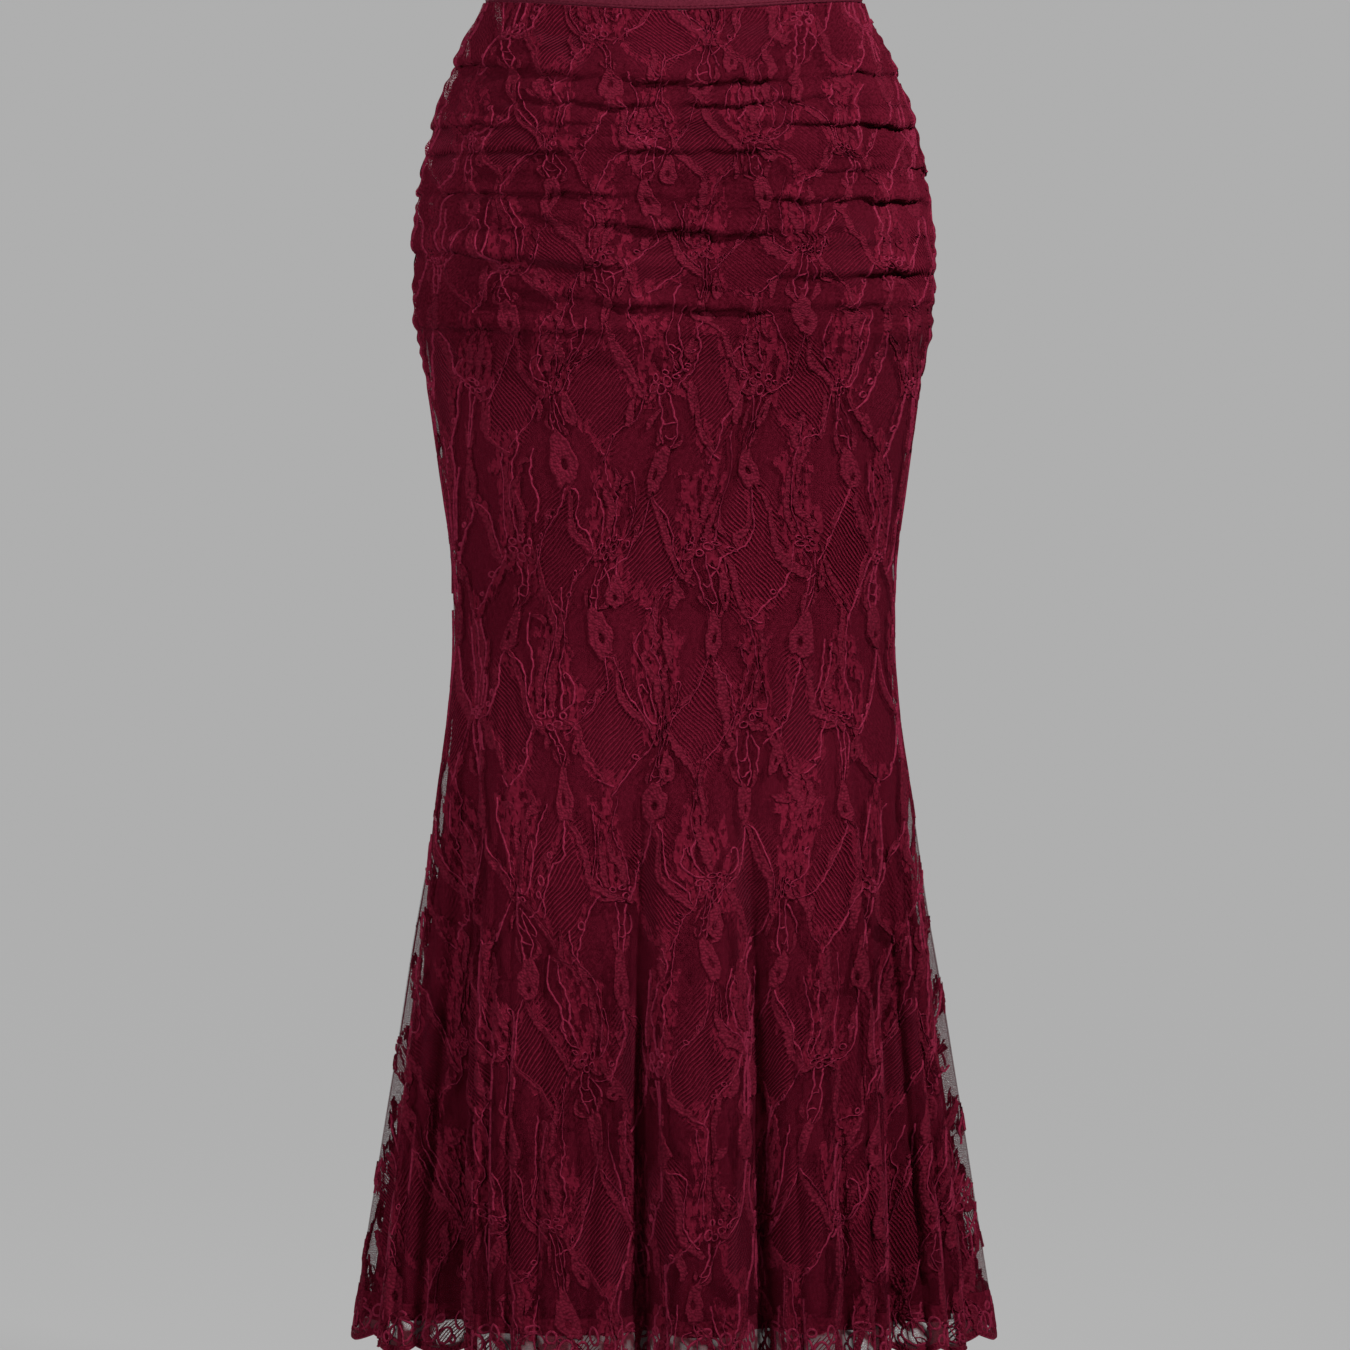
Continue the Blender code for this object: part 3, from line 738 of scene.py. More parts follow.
def build_ribbed_net():
    """The lace's ground: a fine irregular mesh with ribs and close work. It gives how much thread covers a
    place, and how high it stands. The sign of the rib's strength says which way the ribs slant. Close work
    fills places where Leaf is over a half."""
    tree, given, result = new_group(
        "ribbed net",
        [("Place", VECTOR, None), ("Rib", FLOAT, 0.5), ("Ground", FLOAT, 0.0), ("Leaf", FLOAT, 0.0)],
        [("Cover", FLOAT), ("Height", FLOAT)])
    do, place = sums_in(tree), given.outputs["Place"]
    strength = do("ABSOLUTE", given.outputs["Rib"])
    ribbed = slanting_ribs(tree, place, do("SIGN", given.outputs["Rib"]), strength)
    mesh = add_node(tree, "ShaderNodeTexVoronoi", {"Vector": place, "Scale": 1 / MESH_PITCH},
                    feature="DISTANCE_TO_EDGE", voronoi_dimensions="2D")
    thread = do("SUBTRACT", 1.0, do("MULTIPLY", mesh.outputs["Distance"], MESH_FINENESS), clamp=True)
    close, rim = close_work(tree, place, given.outputs["Leaf"])
    cover = do("MAXIMUM", do("MULTIPLY", thread, THREAD_COVER), do("MULTIPLY", ribbed, RIB_COVER))
    cover = do("MAXIMUM", do("MAXIMUM", cover, close), given.outputs["Ground"])
    raised = do("ADD", do("MULTIPLY", close, CLOSE_RELIEF), do("MULTIPLY", rim, RIM_RELIEF))
    smooth = do("MULTIPLY", do("SUBTRACT", FULL_THREAD, strength), THREAD_RELIEF)
    ground = do("ADD", do("MULTIPLY", thread, smooth), do("MULTIPLY", ribbed, RIB_RELIEF))
    cover = do("ADD", cover, LEAST_COVER, clamp=True)
    feed(tree, result, {"Cover": cover, "Height": do("MAXIMUM", ground, raised)})
    return tree


RIBBED_NET = build_ribbed_net()
print("node groups:", ", ".join(group.name for group in bpy.data.node_groups))

# %% [markdown]
# ## The cloth materials
#
# The lace's threads are dyed deep wine red. Its raised flowers catch the light and look brighter than the
# thin net, and the lining behind is darker and smooth. The cords are coloured lighter than the flowers, as a
# painted highlight on their raised crests. The waistband is a little paler, because its elastic stretches
# the thread. The Principled shader stays in each material, with its own sheen for the soft gloss of the
# fibre.

# %% Materials
CLOTH_COLUMNS = ("dark", "light", "roughness", "gloss", "sheen", "grain_pitch", "relief")
CLOTHS = {
    "lace_net": ((0.046, 0.0022, 0.0064), (0.136, 0.0080, 0.0222), 0.62, 0.00, 0.05, None, 0.0016),
    "lace_flower": ((0.040, 0.0020, 0.0060), (0.126, 0.0074, 0.0207), 0.60, 0.04, 0.07, 0.0019, 0.00075),
    # The cords' tones are lighter than the flowers' thread: a painted highlight on the raised cords.
    "lace_cord_painted_highlight": ((0.074, 0.0041, 0.0128), (0.215, 0.0155, 0.0430), 0.54, 0.07, 0.09, 0.0007, 0.00016),
    "lining_knit": ((0.060, 0.0030, 0.0087), (0.108, 0.0060, 0.0171), 0.66, 0.00, 0.05, 0.0006, 0.00008),
    "band_knit": ((0.056, 0.0048, 0.0112), (0.108, 0.0124, 0.0252), 0.60, 0.08, 0.10, 0.0008, 0.00020),
    "seam_thread": ((0.045, 0.0020, 0.0066), (0.090, 0.0048, 0.0150), 0.62, 0.06, 0.05, 0.0010, 0.00030),
}
GLOSS_TINT, SHEEN_TINT, SHEEN_ROUGHNESS = (1.0, 0.35, 0.45, 1), (0.85, 0.12, 0.24, 1), 0.4


def number_on_mesh(tree, name):
    return add_node(tree, "ShaderNodeAttribute", attribute_name=name).outputs["Fac"]


def cloth_material(name, cloth):
    """A cloth with a drifting tone, thread grain, and light and shade painted from its relief. The one
    without a grain's pitch is the lace's net.
    """
    material = bpy.data.materials.new(name)
    material.use_nodes = True
    tree = material.node_tree
    shader = tree.nodes["Principled BSDF"]
    on_mesh = add_node(tree, "ShaderNodeAttribute", attribute_name="cloth")
    parts = add_node(tree, "ShaderNodeSeparateXYZ", {0: on_mesh.outputs["Vector"]})
    place = add_node(tree, "ShaderNodeCombineXYZ", {0: parts.outputs[0], 1: parts.outputs[1]}).outputs[0]
    if cloth["grain_pitch"] is None:
        net = add_node(tree, "ShaderNodeGroup", {
            "Place": place, "Rib": parts.outputs[2], "Ground": number_on_mesh(tree, "ground"),
            "Leaf": number_on_mesh(tree, "leafness")}, node_tree=RIBBED_NET)
        feed(tree, shader, {"Alpha": net.outputs["Cover"]})
        height = net.outputs["Height"]
    else:
        grain = add_node(tree, "ShaderNodeGroup", {"Place": place, "Pitch": cloth["grain_pitch"]},
                         node_tree=THREAD_GRAIN)
        height = grain.outputs["Height"]
    # The relief's height also paints the tone: lighter where it stands high, darker where it lies low.
    tone = add_node(tree, "ShaderNodeGroup", {
        "Place": place, "Dark": (*cloth["dark"], 1), "Light": (*cloth["light"], 1), "Height": height},
        node_tree=CLOTH_TONE_AND_RELIEF_SHADE)
    bump = add_node(tree, "ShaderNodeBump", {"Height": height, "Strength": 1.0, "Distance": cloth["relief"]})
    feed(tree, shader, {
        "Base Color": tone.outputs["Color"], "Normal": bump.outputs["Normal"],
        "Roughness": cloth["roughness"], "Specular IOR Level": cloth["gloss"], "Specular Tint": GLOSS_TINT,
        "Sheen Weight": cloth["sheen"], "Sheen Roughness": SHEEN_ROUGHNESS, "Sheen Tint": SHEEN_TINT})
    return material


MATERIALS = {name: cloth_material(name, dict(zip(CLOTH_COLUMNS, row))) for name, row in CLOTHS.items()}
print("materials:", ", ".join(MATERIALS))

# %% [markdown]
# ## The net
#
# The ground of the lace is one thin net for each panel, laid with rows close enough to turn over every
# crease. Each point carries its place on the cloth and how strong and which way the ribs run there: strong
# in the pointed windows between the flowers, some slanting one way and some the other, and faint elsewhere.

# %% The flowers' layout
COLUMN_PITCH, ROW_PITCH = 0.065, 0.109
BUD_HEIGHT = -0.424
FIRST_BUD = {FRONT: 0.020, BACK: -0.012}
WINDOW_DROP, WINDOW_HALF = 0.056, (0.019, 0.043)
LAYOUT_ROWS, LAYOUT_COLUMNS = range(-8, 8), range(-7, 8)
DRIFT = 0.0085
FAINT_RIB, WINDOW_SPREAD, WINDOW_EDGE = 0.16, 1.6, 0.05
FULL_RIB, RIB_SPAN, WEAK_RIB, WEAK_SHARE = 0.75, 0.25, 0.35, 0.2
SCATTER, SLANT_SALT, SPAN_SALT, WEAK_SALT = (12.9898, 78.233, 37.719, 43758.5453), 1, 2, 3


def unit_places(side):
    """Where each flower's bud lies on the cloth, in rows with every other row half a step aside."""
    start = cloth_down(PANELS[side], BUD_HEIGHT)
    places = []
    for row in LAYOUT_ROWS:
        shift = FIRST_BUD[side] + (COLUMN_PITCH / 2 if row % 2 else 0)
        for column in LAYOUT_COLUMNS:
            places.append((row, column, shift + column * COLUMN_PITCH, start + row * ROW_PITCH))
    return places


def scatter(row, column, salt):
    """A number from 0 to 1 that is fixed for each flower."""
    return (math.sin(row * SCATTER[0] + column * SCATTER[1] + salt * SCATTER[2]) * SCATTER[3]) % 1.0


def drift(side, run, down):
    """How far the stretched lace has drifted from its even layout: along the cloth and down it."""
    along = wavy(run, down, (0.210, 0.170, 0.4), (0.093, -0.120, 2.1), (0.047, 0.083, side * 1.0))
    fallen = wavy(run, down, (0.170, -0.210, 1.3), (0.082, 0.121, 4.0), (0.053, -0.071, side * 2.0))
    return DRIFT * along, DRIFT * fallen


def ribs(side, run, down):
    """Signed strength of the net's ribs at places on the cloth."""
    along, fallen = drift(side, run, down)
    run, down = run - along, down - fallen
    strength = np.full_like(run, FAINT_RIB)
    for row, column, at, drop in unit_places(side):
        x, y = (run - at) / WINDOW_HALF[0], (down - drop - WINDOW_DROP) / WINDOW_HALF[1]
        inside = ease(WINDOW_SPREAD - (x * x + y * y))
        slant = 1 if scatter(row, column, SLANT_SALT) > 0.5 else -1
        strong = scatter(row, column, WEAK_SALT) > WEAK_SHARE
        full = FULL_RIB + RIB_SPAN * scatter(row, column, SPAN_SALT) if strong else WEAK_RIB
        strength = np.where(inside > WINDOW_EDGE, slant * full * inside, strength)
    return strength


print("a flower every %.0f by %.0f mm" % (1000 * COLUMN_PITCH, 1000 * ROW_PITCH))

# %% Close work of the lace
# Half widths and lines in millimetres, x to the right and y up from the flower's bud.
CLOSE_WORK = (
    (5.0, ((0, 50), (-2.5, 62), (1.5, 76), (-2, 90), (0.5, 104), (0, 116))),
    (3.6, ((-9.5, 54), (-11, 68), (-8, 84), (-10.5, 97))),
    (3.2, ((9, 52), (11.5, 66), (8.5, 80), (9.5, 92))),
    (2.4, ((0.5, -13), (5.4, -22), (8.5, -33), (14, -45), (20, -53), (27, -60))),
    (1.4, ((-0.5, -13), (-3.4, -24), (-7, -34), (-13, -46), (-20, -54), (-27, -60))),
    (2.4, ((8, 47), (13, 38), (18, 29), (24, 20), (31, 9))),
    (1.6, ((-8, 47), (-13, 37), (-18, 28), (-25, 18), (-31, 9))),
    (4.6, ((-9, 48), (9, 49))),
)
UNIT_REACH, UNIT_SPAN, LIST_PITCH = 40.0, (-62, 124), 98.0
NO_CLOSE_WORK = -1.0
LEAST_WIDTH, WIDTH_SPAN, WIDTH_SALT = 0.75, 0.5, 10


def from_segment(x, y, start, end):
    """How far points lie from a straight piece of line."""
    along = np.array(end, dtype=float) - start
    share = ((x - start[0]) * along[0] + (y - start[1]) * along[1]) / (along @ along)
    share = np.clip(share, 0, 1)
    return np.hypot(x - start[0] - share * along[0], y - start[1] - share * along[1])


def leafness(side, run, down):
    """How close the lace's work is at a place: 1 in the middle of a band of it, a half at its edge."""
    along, fallen = drift(side, run, down)
    run, down = run - along, down - fallen
    close = np.full(run.shape, NO_CLOSE_WORK)
    for row, column, at, drop in unit_places(side):
        x, y = -side * 1000 * (run - at), LIST_PITCH * (drop - down) / ROW_PITCH
        near = (np.abs(x) < UNIT_REACH) & (y > UNIT_SPAN[0]) & (y < UNIT_SPAN[1])
        if not near.any():
            continue
        x, y = x[near], y[near]
        best = close[near]
        for index, (half, line) in enumerate(CLOSE_WORK):
            width = half * (LEAST_WIDTH + WIDTH_SPAN * scatter(row, column, WIDTH_SALT + index))
            for start, end in zip(line[:-1], line[1:]):
                best = np.maximum(best, 1 - from_segment(x, y, start, end) / (2 * width))
        close[near] = best
    return np.clip(close, NO_CLOSE_WORK, 1)


print(len(CLOSE_WORK), "bands of close work round each flower")

# %% Lace net panels
RUCHED_STEP, FITTED_STEP, FLARE_STEP, FLARE_FROM = 0.0016, 0.0034, 0.0036, -0.47
NET_COLUMNS, LAST_ROW_GAP = 260, 0.001
GATHERED_COVER, MIDDLE_COVER, SIDE_GATHERS = 0.97, 0.45, (0.58, 0.76)
BARE_STRIP, BARE_FROM, BARE_GROWS_OVER, BARE_RIBS = 0.026, -0.53, 0.06, 0.03
STRIP_MIDDLE, STRIP_SWING, STRIP_LEVEL = 0.62, 0.75, 9.0


def net_heights():
    ruched = np.arange(BAND_FOOT - SEAM_GAP, PUFF_FADE[1], -RUCHED_STEP)
    fitted = np.arange(ruched[-1] - FITTED_STEP, FLARE_FROM, -FITTED_STEP)
    flare = np.arange(fitted[-1] - FLARE_STEP, EDGING_TOP + LAST_ROW_GAP, -FLARE_STEP)
    return np.concatenate((ruched, fitted, flare, [EDGING_TOP]))


def evenly_round(panel, heights, columns):
    """Shares of the way round at even lengths along the cloth of each height."""
    share = np.linspace(-1, 1, columns + 1)
    left, right = [np.interp(-heights, -panel["heights"], panel["run"][:, end])[:, None] for end in (0, -1)]
    run = np.where(share < 0, -share * left, share * right)
    around = around_of(panel, run, np.broadcast_to(heights[:, None], run.shape))
    around[:, 0], around[:, -1] = -1, 1
    return around, run


def open_strip(side, run, down):
    """Where the flare is net alone: beside the side seams, in stretches of uneven length and width."""
    z = height_at(PANELS[side], down)
    left, right = seams_at(PANELS[side], down)
    from_seam = np.where(run < 0, run - left, right - run)
    width = wavy(z, run, (0.071, STRIP_LEVEL, 0.4 + 1.3 * np.sign(run)), (0.043, STRIP_LEVEL, 1.7))
    width = np.clip(STRIP_MIDDLE + STRIP_SWING * width, 0, 1)
    return from_seam < BARE_STRIP * width * ease((BARE_FROM - z) / BARE_GROWS_OVER)


def add_value(piece, title, values):
    numbers = piece.data.attributes.new(title, "FLOAT", "POINT")
    numbers.data.foreach_set("value", np.asarray(values, np.float32).ravel())


def lace_net(side):
    panel = PANELS[side]
    heights = net_heights()
    around, run = evenly_round(panel, heights, NET_COLUMNS)
    z = np.broadcast_to(heights[:, None], run.shape)
    down = cloth_down(panel, z)
    bare = open_strip(side, run, down)
    cloth = together(run, down, np.where(bare, BARE_RIBS, ribs(side, run, down)))
    faces = grid_faces(len(heights), NET_COLUMNS + 1, flip=side == BACK)
    points = lay(panel, around, z, np.zeros_like(z))
    net = make_piece("net_" + TITLES[side], points, faces, ["lace_net"], cloth)
    sides = ease((np.abs(around) - SIDE_GATHERS[0]) / (SIDE_GATHERS[1] - SIDE_GATHERS[0]))
    middle = MIDDLE_COVER * gather_share(z) * (1 - sides)
    add_value(net, "ground", middle + GATHERED_COVER * ruched_share(z) * sides)
    add_value(net, "leafness", np.where(bare, NO_CLOSE_WORK, leafness(side, run, down)))
    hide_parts("lace_" + TITLES[side])
    return net


NETS = {side: lace_net(side) for side in TITLES}

# %% [markdown]
# ## Raised lace work
#
# Corded lace has flat leaves and buds of thread, each with a raised cord round it, joined by loose cords,
# rings and twigs. All of these are drawn as ribbons on flat cloth, in millimetres, with the bud at the
# centre: a line gives where a ribbon runs, and a small section gives how it stands up across its width.
# Ribbons with a rim are leaves, and ribbons with one crest are cords.

# %% Ribbons
CORD_SECTION = np.array(((-1, -0.2), (0, 1.0), (1, -0.2)))
LEAF_SECTION = np.array((
    (-1, -0.25), (-0.84, 1.0), (-0.5, 0.45), (0, 0.6), (0.5, 0.45), (0.84, 1.0), (1, -0.25)))
CORD_HALF, CORD_STAND, LEAF_STAND = 0.46, 1.25, 1.05
CORD_STEP, LEAF_STEP, RING_STEPS, LINE_CUTS = 2.2, 1.8, 9, 12
FLOWER_FACE, CORD_FACE = 0, 1
# The cords' material is coloured lighter as a painted highlight on their crests.
RAISED_WORK = ("lace_flower", "lace_cord_painted_highlight")
TOOTH_PITCH, TOOTH_LEVEL, RAGGED_EDGE, LEAF_TIP = (3.2, 6.5), 0.3, 0.10, 6
CORD_WIGGLE, LEAF_WIGGLE, CORD_UNEVEN = 0.34, 0.25, 0.25
WIGGLE_PITCH, ANY_PHASE, LESSER_WAVE, LESSER_PITCH = (6, 11), (0, 6.28), 0.6, 0.43
RING_SQUEEZE = (0.75, 1.25)
BUD_POINTS, BUD_STAND, BUD_HALF_WIDTH, BUD_HALF_HEIGHT, BUD_TAPER = 25, 1.15, 6.3, 14.5, 0.30
BUD_RIPPLES, BUD_RIPPLE, BUD_RAGGED, HOLE_WIDTH, HOLE_HEIGHT, HOLE_DROP = 7, 0.07, 0.06, 1.4, 2.4, 4.5
BUD_SECTION = np.array(((0.0, -0.2), (0.13, 1.0), (0.5, 0.55), (0.74, 0.6), (0.9, 1.1), (1.0, -0.25)))


def smooth_line(points, spacing):
    """A smooth line through a few points, cut into even steps."""
    p = np.array(points, dtype=float)
    ends = np.vstack((2 * p[0] - p[1], p, 2 * p[-1] - p[-2]))
    t = np.linspace(0, len(p) - 1, LINE_CUTS * (len(p) - 1) + 1)
    i = np.minimum(t.astype(int), len(p) - 2)
    u = (t - i)[:, None]
    a, b, c, d = ends[i], ends[i + 1], ends[i + 2], ends[i + 3]
    line = 0.5 * (2 * b + (c - a) * u + (2 * a - 5 * b + 4 * c - d) * u**2 + (3 * b - a - 3 * c + d) * u**3)
    run = np.concatenate(([0], np.cumsum(np.linalg.norm(np.diff(line, axis=0), axis=1))))
    even = np.linspace(0, run[-1], max(2, round(run[-1] / spacing)) + 1)
    return np.stack([np.interp(even, run, line[:, k]) for k in range(2)], axis=-1), even


def sideways(line):
    """The direction to the left of a line at each of its points."""
    tangent = np.gradient(line, axis=0)
    tangent /= np.linalg.norm(tangent, axis=1, keepdims=True)
    return np.stack((-tangent[:, 1], tangent[:, 0]), axis=-1)


def wiggle(line, run, size, rng):
    """The unsteady run of a laid thread: two small waves across the line."""
    pitch, phase = rng.uniform(*WIGGLE_PITCH), rng.uniform(*ANY_PHASE)
    turn = 2 * math.pi * run / pitch
    wave = np.sin(turn + phase) + LESSER_WAVE * np.sin(turn / LESSER_PITCH + 2 * phase)
    return line + sideways(line) * (size * wave)[:, None]


def raised(flat, heights, kind):
    """Flat rows of points with the heights of a section: points, faces, and the kind of each face."""
    points = together(flat[..., 0], flat[..., 1], heights).reshape(-1, 3)
    faces = grid_faces(*flat.shape[:2])
    return points, faces, np.full(len(faces), kind)


def ribbon(line, left, right, section, stand, kind):
    """A ribbon along a line, with its half widths to the left and to the right."""
    share = section[:, 0]
    width = np.where(share > 0, left[:, None], right[:, None]) * share
    return raised(line[:, None] + sideways(line)[:, None] * width[..., None], stand * section[:, 1], kind)


def cord(points, rng):
    line, run = smooth_line(points, CORD_STEP)
    line = wiggle(line, run, CORD_WIGGLE, rng)
    width = CORD_HALF * (1 + CORD_UNEVEN * rng.normal(0, 1, len(line)).clip(-1, 1))
    return ribbon(line, width, width, CORD_SECTION, CORD_STAND, CORD_FACE)


def leaf(points, widths, teeth, rng):
    """A leaf or a band of thread: half widths at its start, middle and end, and ragged small teeth."""
    line, run = smooth_line(points, LEAF_STEP)
    line = wiggle(line, run, LEAF_WIGGLE, rng)
    share = run / run[-1]
    half = np.interp(share, (0, 0.5, 1), widths)
    tip, foot = [np.sin(np.clip(rise * LEAF_TIP, 0, 1) * math.pi / 2) for rise in (share, 1 - share)]
    edges = []
    for _ in range(2):
        tooth = np.abs(np.sin(math.pi * run / rng.uniform(*TOOTH_PITCH) + rng.uniform(0, 3)))
        ragged = RAGGED_EDGE * half * rng.normal(0, 1, len(run)).clip(-1.5, 1.5)
        edges.append(half + tip * foot * (teeth * (tooth - TOOTH_LEVEL) + ragged))
    return ribbon(line, edges[0], edges[1], LEAF_SECTION, LEAF_STAND, FLOWER_FACE)


def ring(centre, radius, rng):
    """A small uneven ring of cord."""
    angle = np.linspace(0, 2 * math.pi, RING_STEPS + 1)
    radii = radius + CORD_HALF * CORD_SECTION[:, 0]
    squeeze = rng.uniform(*RING_SQUEEZE)
    direction = np.stack((np.sin(angle) / squeeze, np.cos(angle) * squeeze), axis=-1)
    flat = np.array(centre) + direction[:, None] * radii[None, :, None]
    return raised(flat, CORD_STAND * CORD_SECTION[:, 1], CORD_FACE)


def bud(rng, centre=(0, 0), size=1.0):
    """An egg of thread with a hole in it and a raised rim, wider towards its foot."""
    angle = np.linspace(0, 2 * math.pi, BUD_POINTS)
    ripple = 1 + BUD_RIPPLE * np.sin(BUD_RIPPLES * angle + rng.uniform(0, 6))
    ripple = ripple + BUD_RAGGED * rng.normal(0, 1, BUD_POINTS).clip(-1.5, 1.5)
    ripple[-1] = ripple[0]
    width = BUD_HALF_WIDTH * np.sin(angle) * (1 - BUD_TAPER * np.cos(angle))
    outline = np.stack((width, BUD_HALF_HEIGHT * np.cos(angle)), axis=-1)
    hole = np.stack((HOLE_WIDTH * np.sin(angle), HOLE_HEIGHT * np.cos(angle) - HOLE_DROP), axis=-1)
    flat = hole[:, None] + (outline * ripple[:, None] - hole)[:, None] * BUD_SECTION[None, :, :1]
    return raised(np.array(centre) + size * flat, BUD_STAND * BUD_SECTION[:, 1], FLOWER_FACE)


print("a cord is %.1f mm wide" % (2 * CORD_HALF))

# %% [markdown]
# ## One flower unit
#
# One repeat is listed. From the bud's foot a thin cord runs to the left and a toothed band to the
# right, and both reach the ring clusters of the flowers below. A neck of two cords joins the bud to its own
# cluster, a wavy leaf band climbs from there, and thinner leaves, hooks and twigs fill in. The lesser ones
# are left out here and there, so that no two flowers are quite alike.

# %% The unit's list
WORK_COLUMNS = ("kind", "chance", "line", "widths", "teeth")
UNIT = (
    ("leaf", 1.0, ((0.5, -13.5), (4.2, -19), (6.6, -27), (9.6, -36), (14, -45), (20, -53),
     (27, -60)), (0.6, 2.5, 1.6), 1.4),
    ("cord", 0.8, ((2.5, -15.5), (8.4, -21), (11.8, -30), (14.5, -39), (20.5, -47), (24, -55))),
    ("cord", 1.0, ((-0.5, -13.5), (-2.2, -22), (-5.4, -31), (-9.4, -39.5), (-15.5, -49),
     (-21, -55.5), (-28, -61))),
    ("leaf", 0.8, ((-5, -27), (-8, -30.5), (-10.6, -35.5), (-11.4, -42)), (0.4, 1.9, 0.4), 0.4),
    ("ring", 0.8, (-14.5, -44), 1.5),
    ("ring", 0.7, (-18.5, -49), 1.3),
    ("ring", 0.6, (-9.5, -34), 1.2),
    ("bud", 0.7, (-19.5, -68), 0.60),
    ("cord", 0.7, ((-19.5, -59.5), (-17.8, -55), (-18.6, -50))),
    ("leaf", 0.5, ((16.5, -56), (15, -64), (16.2, -73), (14.8, -80)), (0.4, 2.9, 1.4), 0.8),
    ("leaf", 0.9, ((8, 47), (12.6, 38.5), (17, 30), (22.6, 21), (28.8, 11.5)), (0.5, 2.3, 0.6), 1.0),
    ("cord", 0.9, ((27, 13.5), (30, 10.5), (33, 8.5))),
    ("cord", 1.0, ((-8, 46.5), (-12, 38), (-17, 29.5), (-22.5, 21), (-27.5, 14), (-32.5, 8))),
    ("ring", 0.7, (-20, 27.5), 1.5),
    ("ring", 0.6, (-25.5, 19.5), 1.2),
    ("leaf", 0.8, ((-2.6, 53), (-4.6, 60), (-2.8, 68), (-5.2, 77), (-3.2, 87)), (0.9, 2.3, 0.8), 1.6),
    ("leaf", 0.7, ((-1.4, 84), (1.4, 92), (-1.2, 100), (1.2, 110), (-0.5, 119)), (0.5, 2.1, 0.6), 1.5),
    ("leaf", 0.5, ((3.0, 52), (5.0, 61), (3.0, 71), (4.8, 81)), (0.7, 1.9, 0.5), 1.4),
    ("leaf", 0.6, ((5.6, 77), (3.8, 86), (5.8, 95), (4.2, 105)), (0.4, 1.7, 0.4), 1.2),
    ("cord", 0.6, ((0.4, 52), (1.4, 60), (-0.8, 69), (1.2, 79), (-1.2, 88), (0.8, 98), (-0.3, 112))),
    ("cord", 0.6, ((-7.2, 53), (-9.2, 63), (-7.4, 75), (-9.6, 86), (-7.4, 99))),
    ("cord", 0.5, ((7.8, 53), (9.4, 65), (7.8, 76), (9.6, 88), (7.2, 101), (8, 113))),
    ("cord", 0.35, ((13, 58), (15, 71), (13.2, 84), (14.6, 98))),
    ("cord", 0.35, ((-13.5, 60), (-12.2, 75), (-14.8, 88), (-13.6, 102))),
    ("cord", 0.5, ((6, 50), (12, 53.5), (15, 60), (14.6, 68), (11.4, 72.5), (9.6, 70), (11.2, 67))),
    ("cord", 0.4, ((-6, 50), (-11, 52.5), (-14, 59), (-12.6, 65.5), (-9.8, 66), (-9.2, 62.5))),
    ("leaf", 0.6, ((-4, 93), (-7, 97), (-11, 98.5)), (0.3, 2.2, 0.2), 0.5),
    ("leaf", 0.5, ((5, 88), (9, 91.5), (12.6, 92)), (0.3, 2.0, 0.2), 0.5),
    ("leaf", 0.5, ((5, 64), (8.5, 60.5), (10.5, 55)), (0.3, 1.8, 0.3), 0.4),
    ("leaf", 1.0, ((-3.4, 12), (-6, 17), (-6, 23)), (0.4, 1.5, 0.3), 0.4),
    ("leaf", 1.0, ((3.4, 12), (6.2, 16), (6.6, 22)), (0.4, 1.5, 0.3), 0.4),
    ("cord", 1.0, ((-2.2, 13), (-3, 22), (-2, 31), (-2.6, 41))),
    ("cord", 1.0, ((2.2, 13), (3.2, 21), (2, 30), (2.4, 41))),
    ("cord", 1.0, ((-2.6, 20), (0, 19), (2.8, 20.5))),
    ("cord", 1.0, ((-2.3, 28), (0, 27.2), (2.3, 28.5))),
    ("cord", 0.6, ((2.5, 38), (6.5, 33), (7.8, 27), (6.2, 22))),
    ("leaf", 0.5, ((-3, 36), (-7.5, 31), (-9, 24)), (0.3, 1.6, 0.3), 0.3),
    ("ring", 1.0, (0, 43.5), 2.0),
    ("ring", 1.0, (-4.0, 46), 2.1),
    ("ring", 1.0, (4.0, 46.5), 1.9),
    ("ring", 1.0, (-2.2, 50.5), 1.7),
    ("ring", 1.0, (2.8, 51), 1.6),
    ("ring", 0.7, (7.2, 49), 1.4),
    ("ring", 0.6, (-7.6, 48.5), 1.4),
    ("leaf", 0.8, ((-1, 46), (-6, 42), (-10.5, 42.5)), (0.5, 1.7, 0.3), 0.5),
    ("leaf", 0.8, ((1, 46), (6.5, 42), (11, 43.5)), (0.5, 1.7, 0.3), 0.5),
)


# %% Drawing the list
LINE_JITTER, RING_JITTER, BUD_JITTER = 0.85, 0.5, 1.2
RING_SIZES, BUD_SIZES, LEAF_SIZES = (0.8, 1.2), (0.85, 1.15), (0.8, 1.1)


def drawn(row, rng):
    """The ribbon of one row of a list of lace work, never quite the same twice."""
    line = np.array(row["line"], dtype=float)
    if row["kind"] == "ring":
        return ring(line + rng.normal(0, RING_JITTER, 2), row["widths"] * rng.uniform(*RING_SIZES), rng)
    if row["kind"] == "bud":
        return bud(rng, line + rng.normal(0, BUD_JITTER, 2), row["widths"] * rng.uniform(*BUD_SIZES))
    line += rng.normal(0, LINE_JITTER, line.shape)
    if row["kind"] == "leaf":
        return leaf(line, np.array(row["widths"]) * rng.uniform(*LEAF_SIZES), row["teeth"], rng)
    return cord(line, rng)


def flower_pieces(rng):
    """The ribbons of one flower: its bud, and the rows that chance keeps."""
    pieces = [bud(rng)]
    for row in UNIT_ROWS:
        if row["chance"] >= 1 or rng.random() < row["chance"]:
            pieces.append(drawn(row, rng))
    return pieces


UNIT_ROWS = named_rows(WORK_COLUMNS, UNIT)
one_flower = flower_pieces(np.random.default_rng(1))
print("one flower has about", sum(2 * len(faces) for _, faces, _ in one_flower), "triangles")

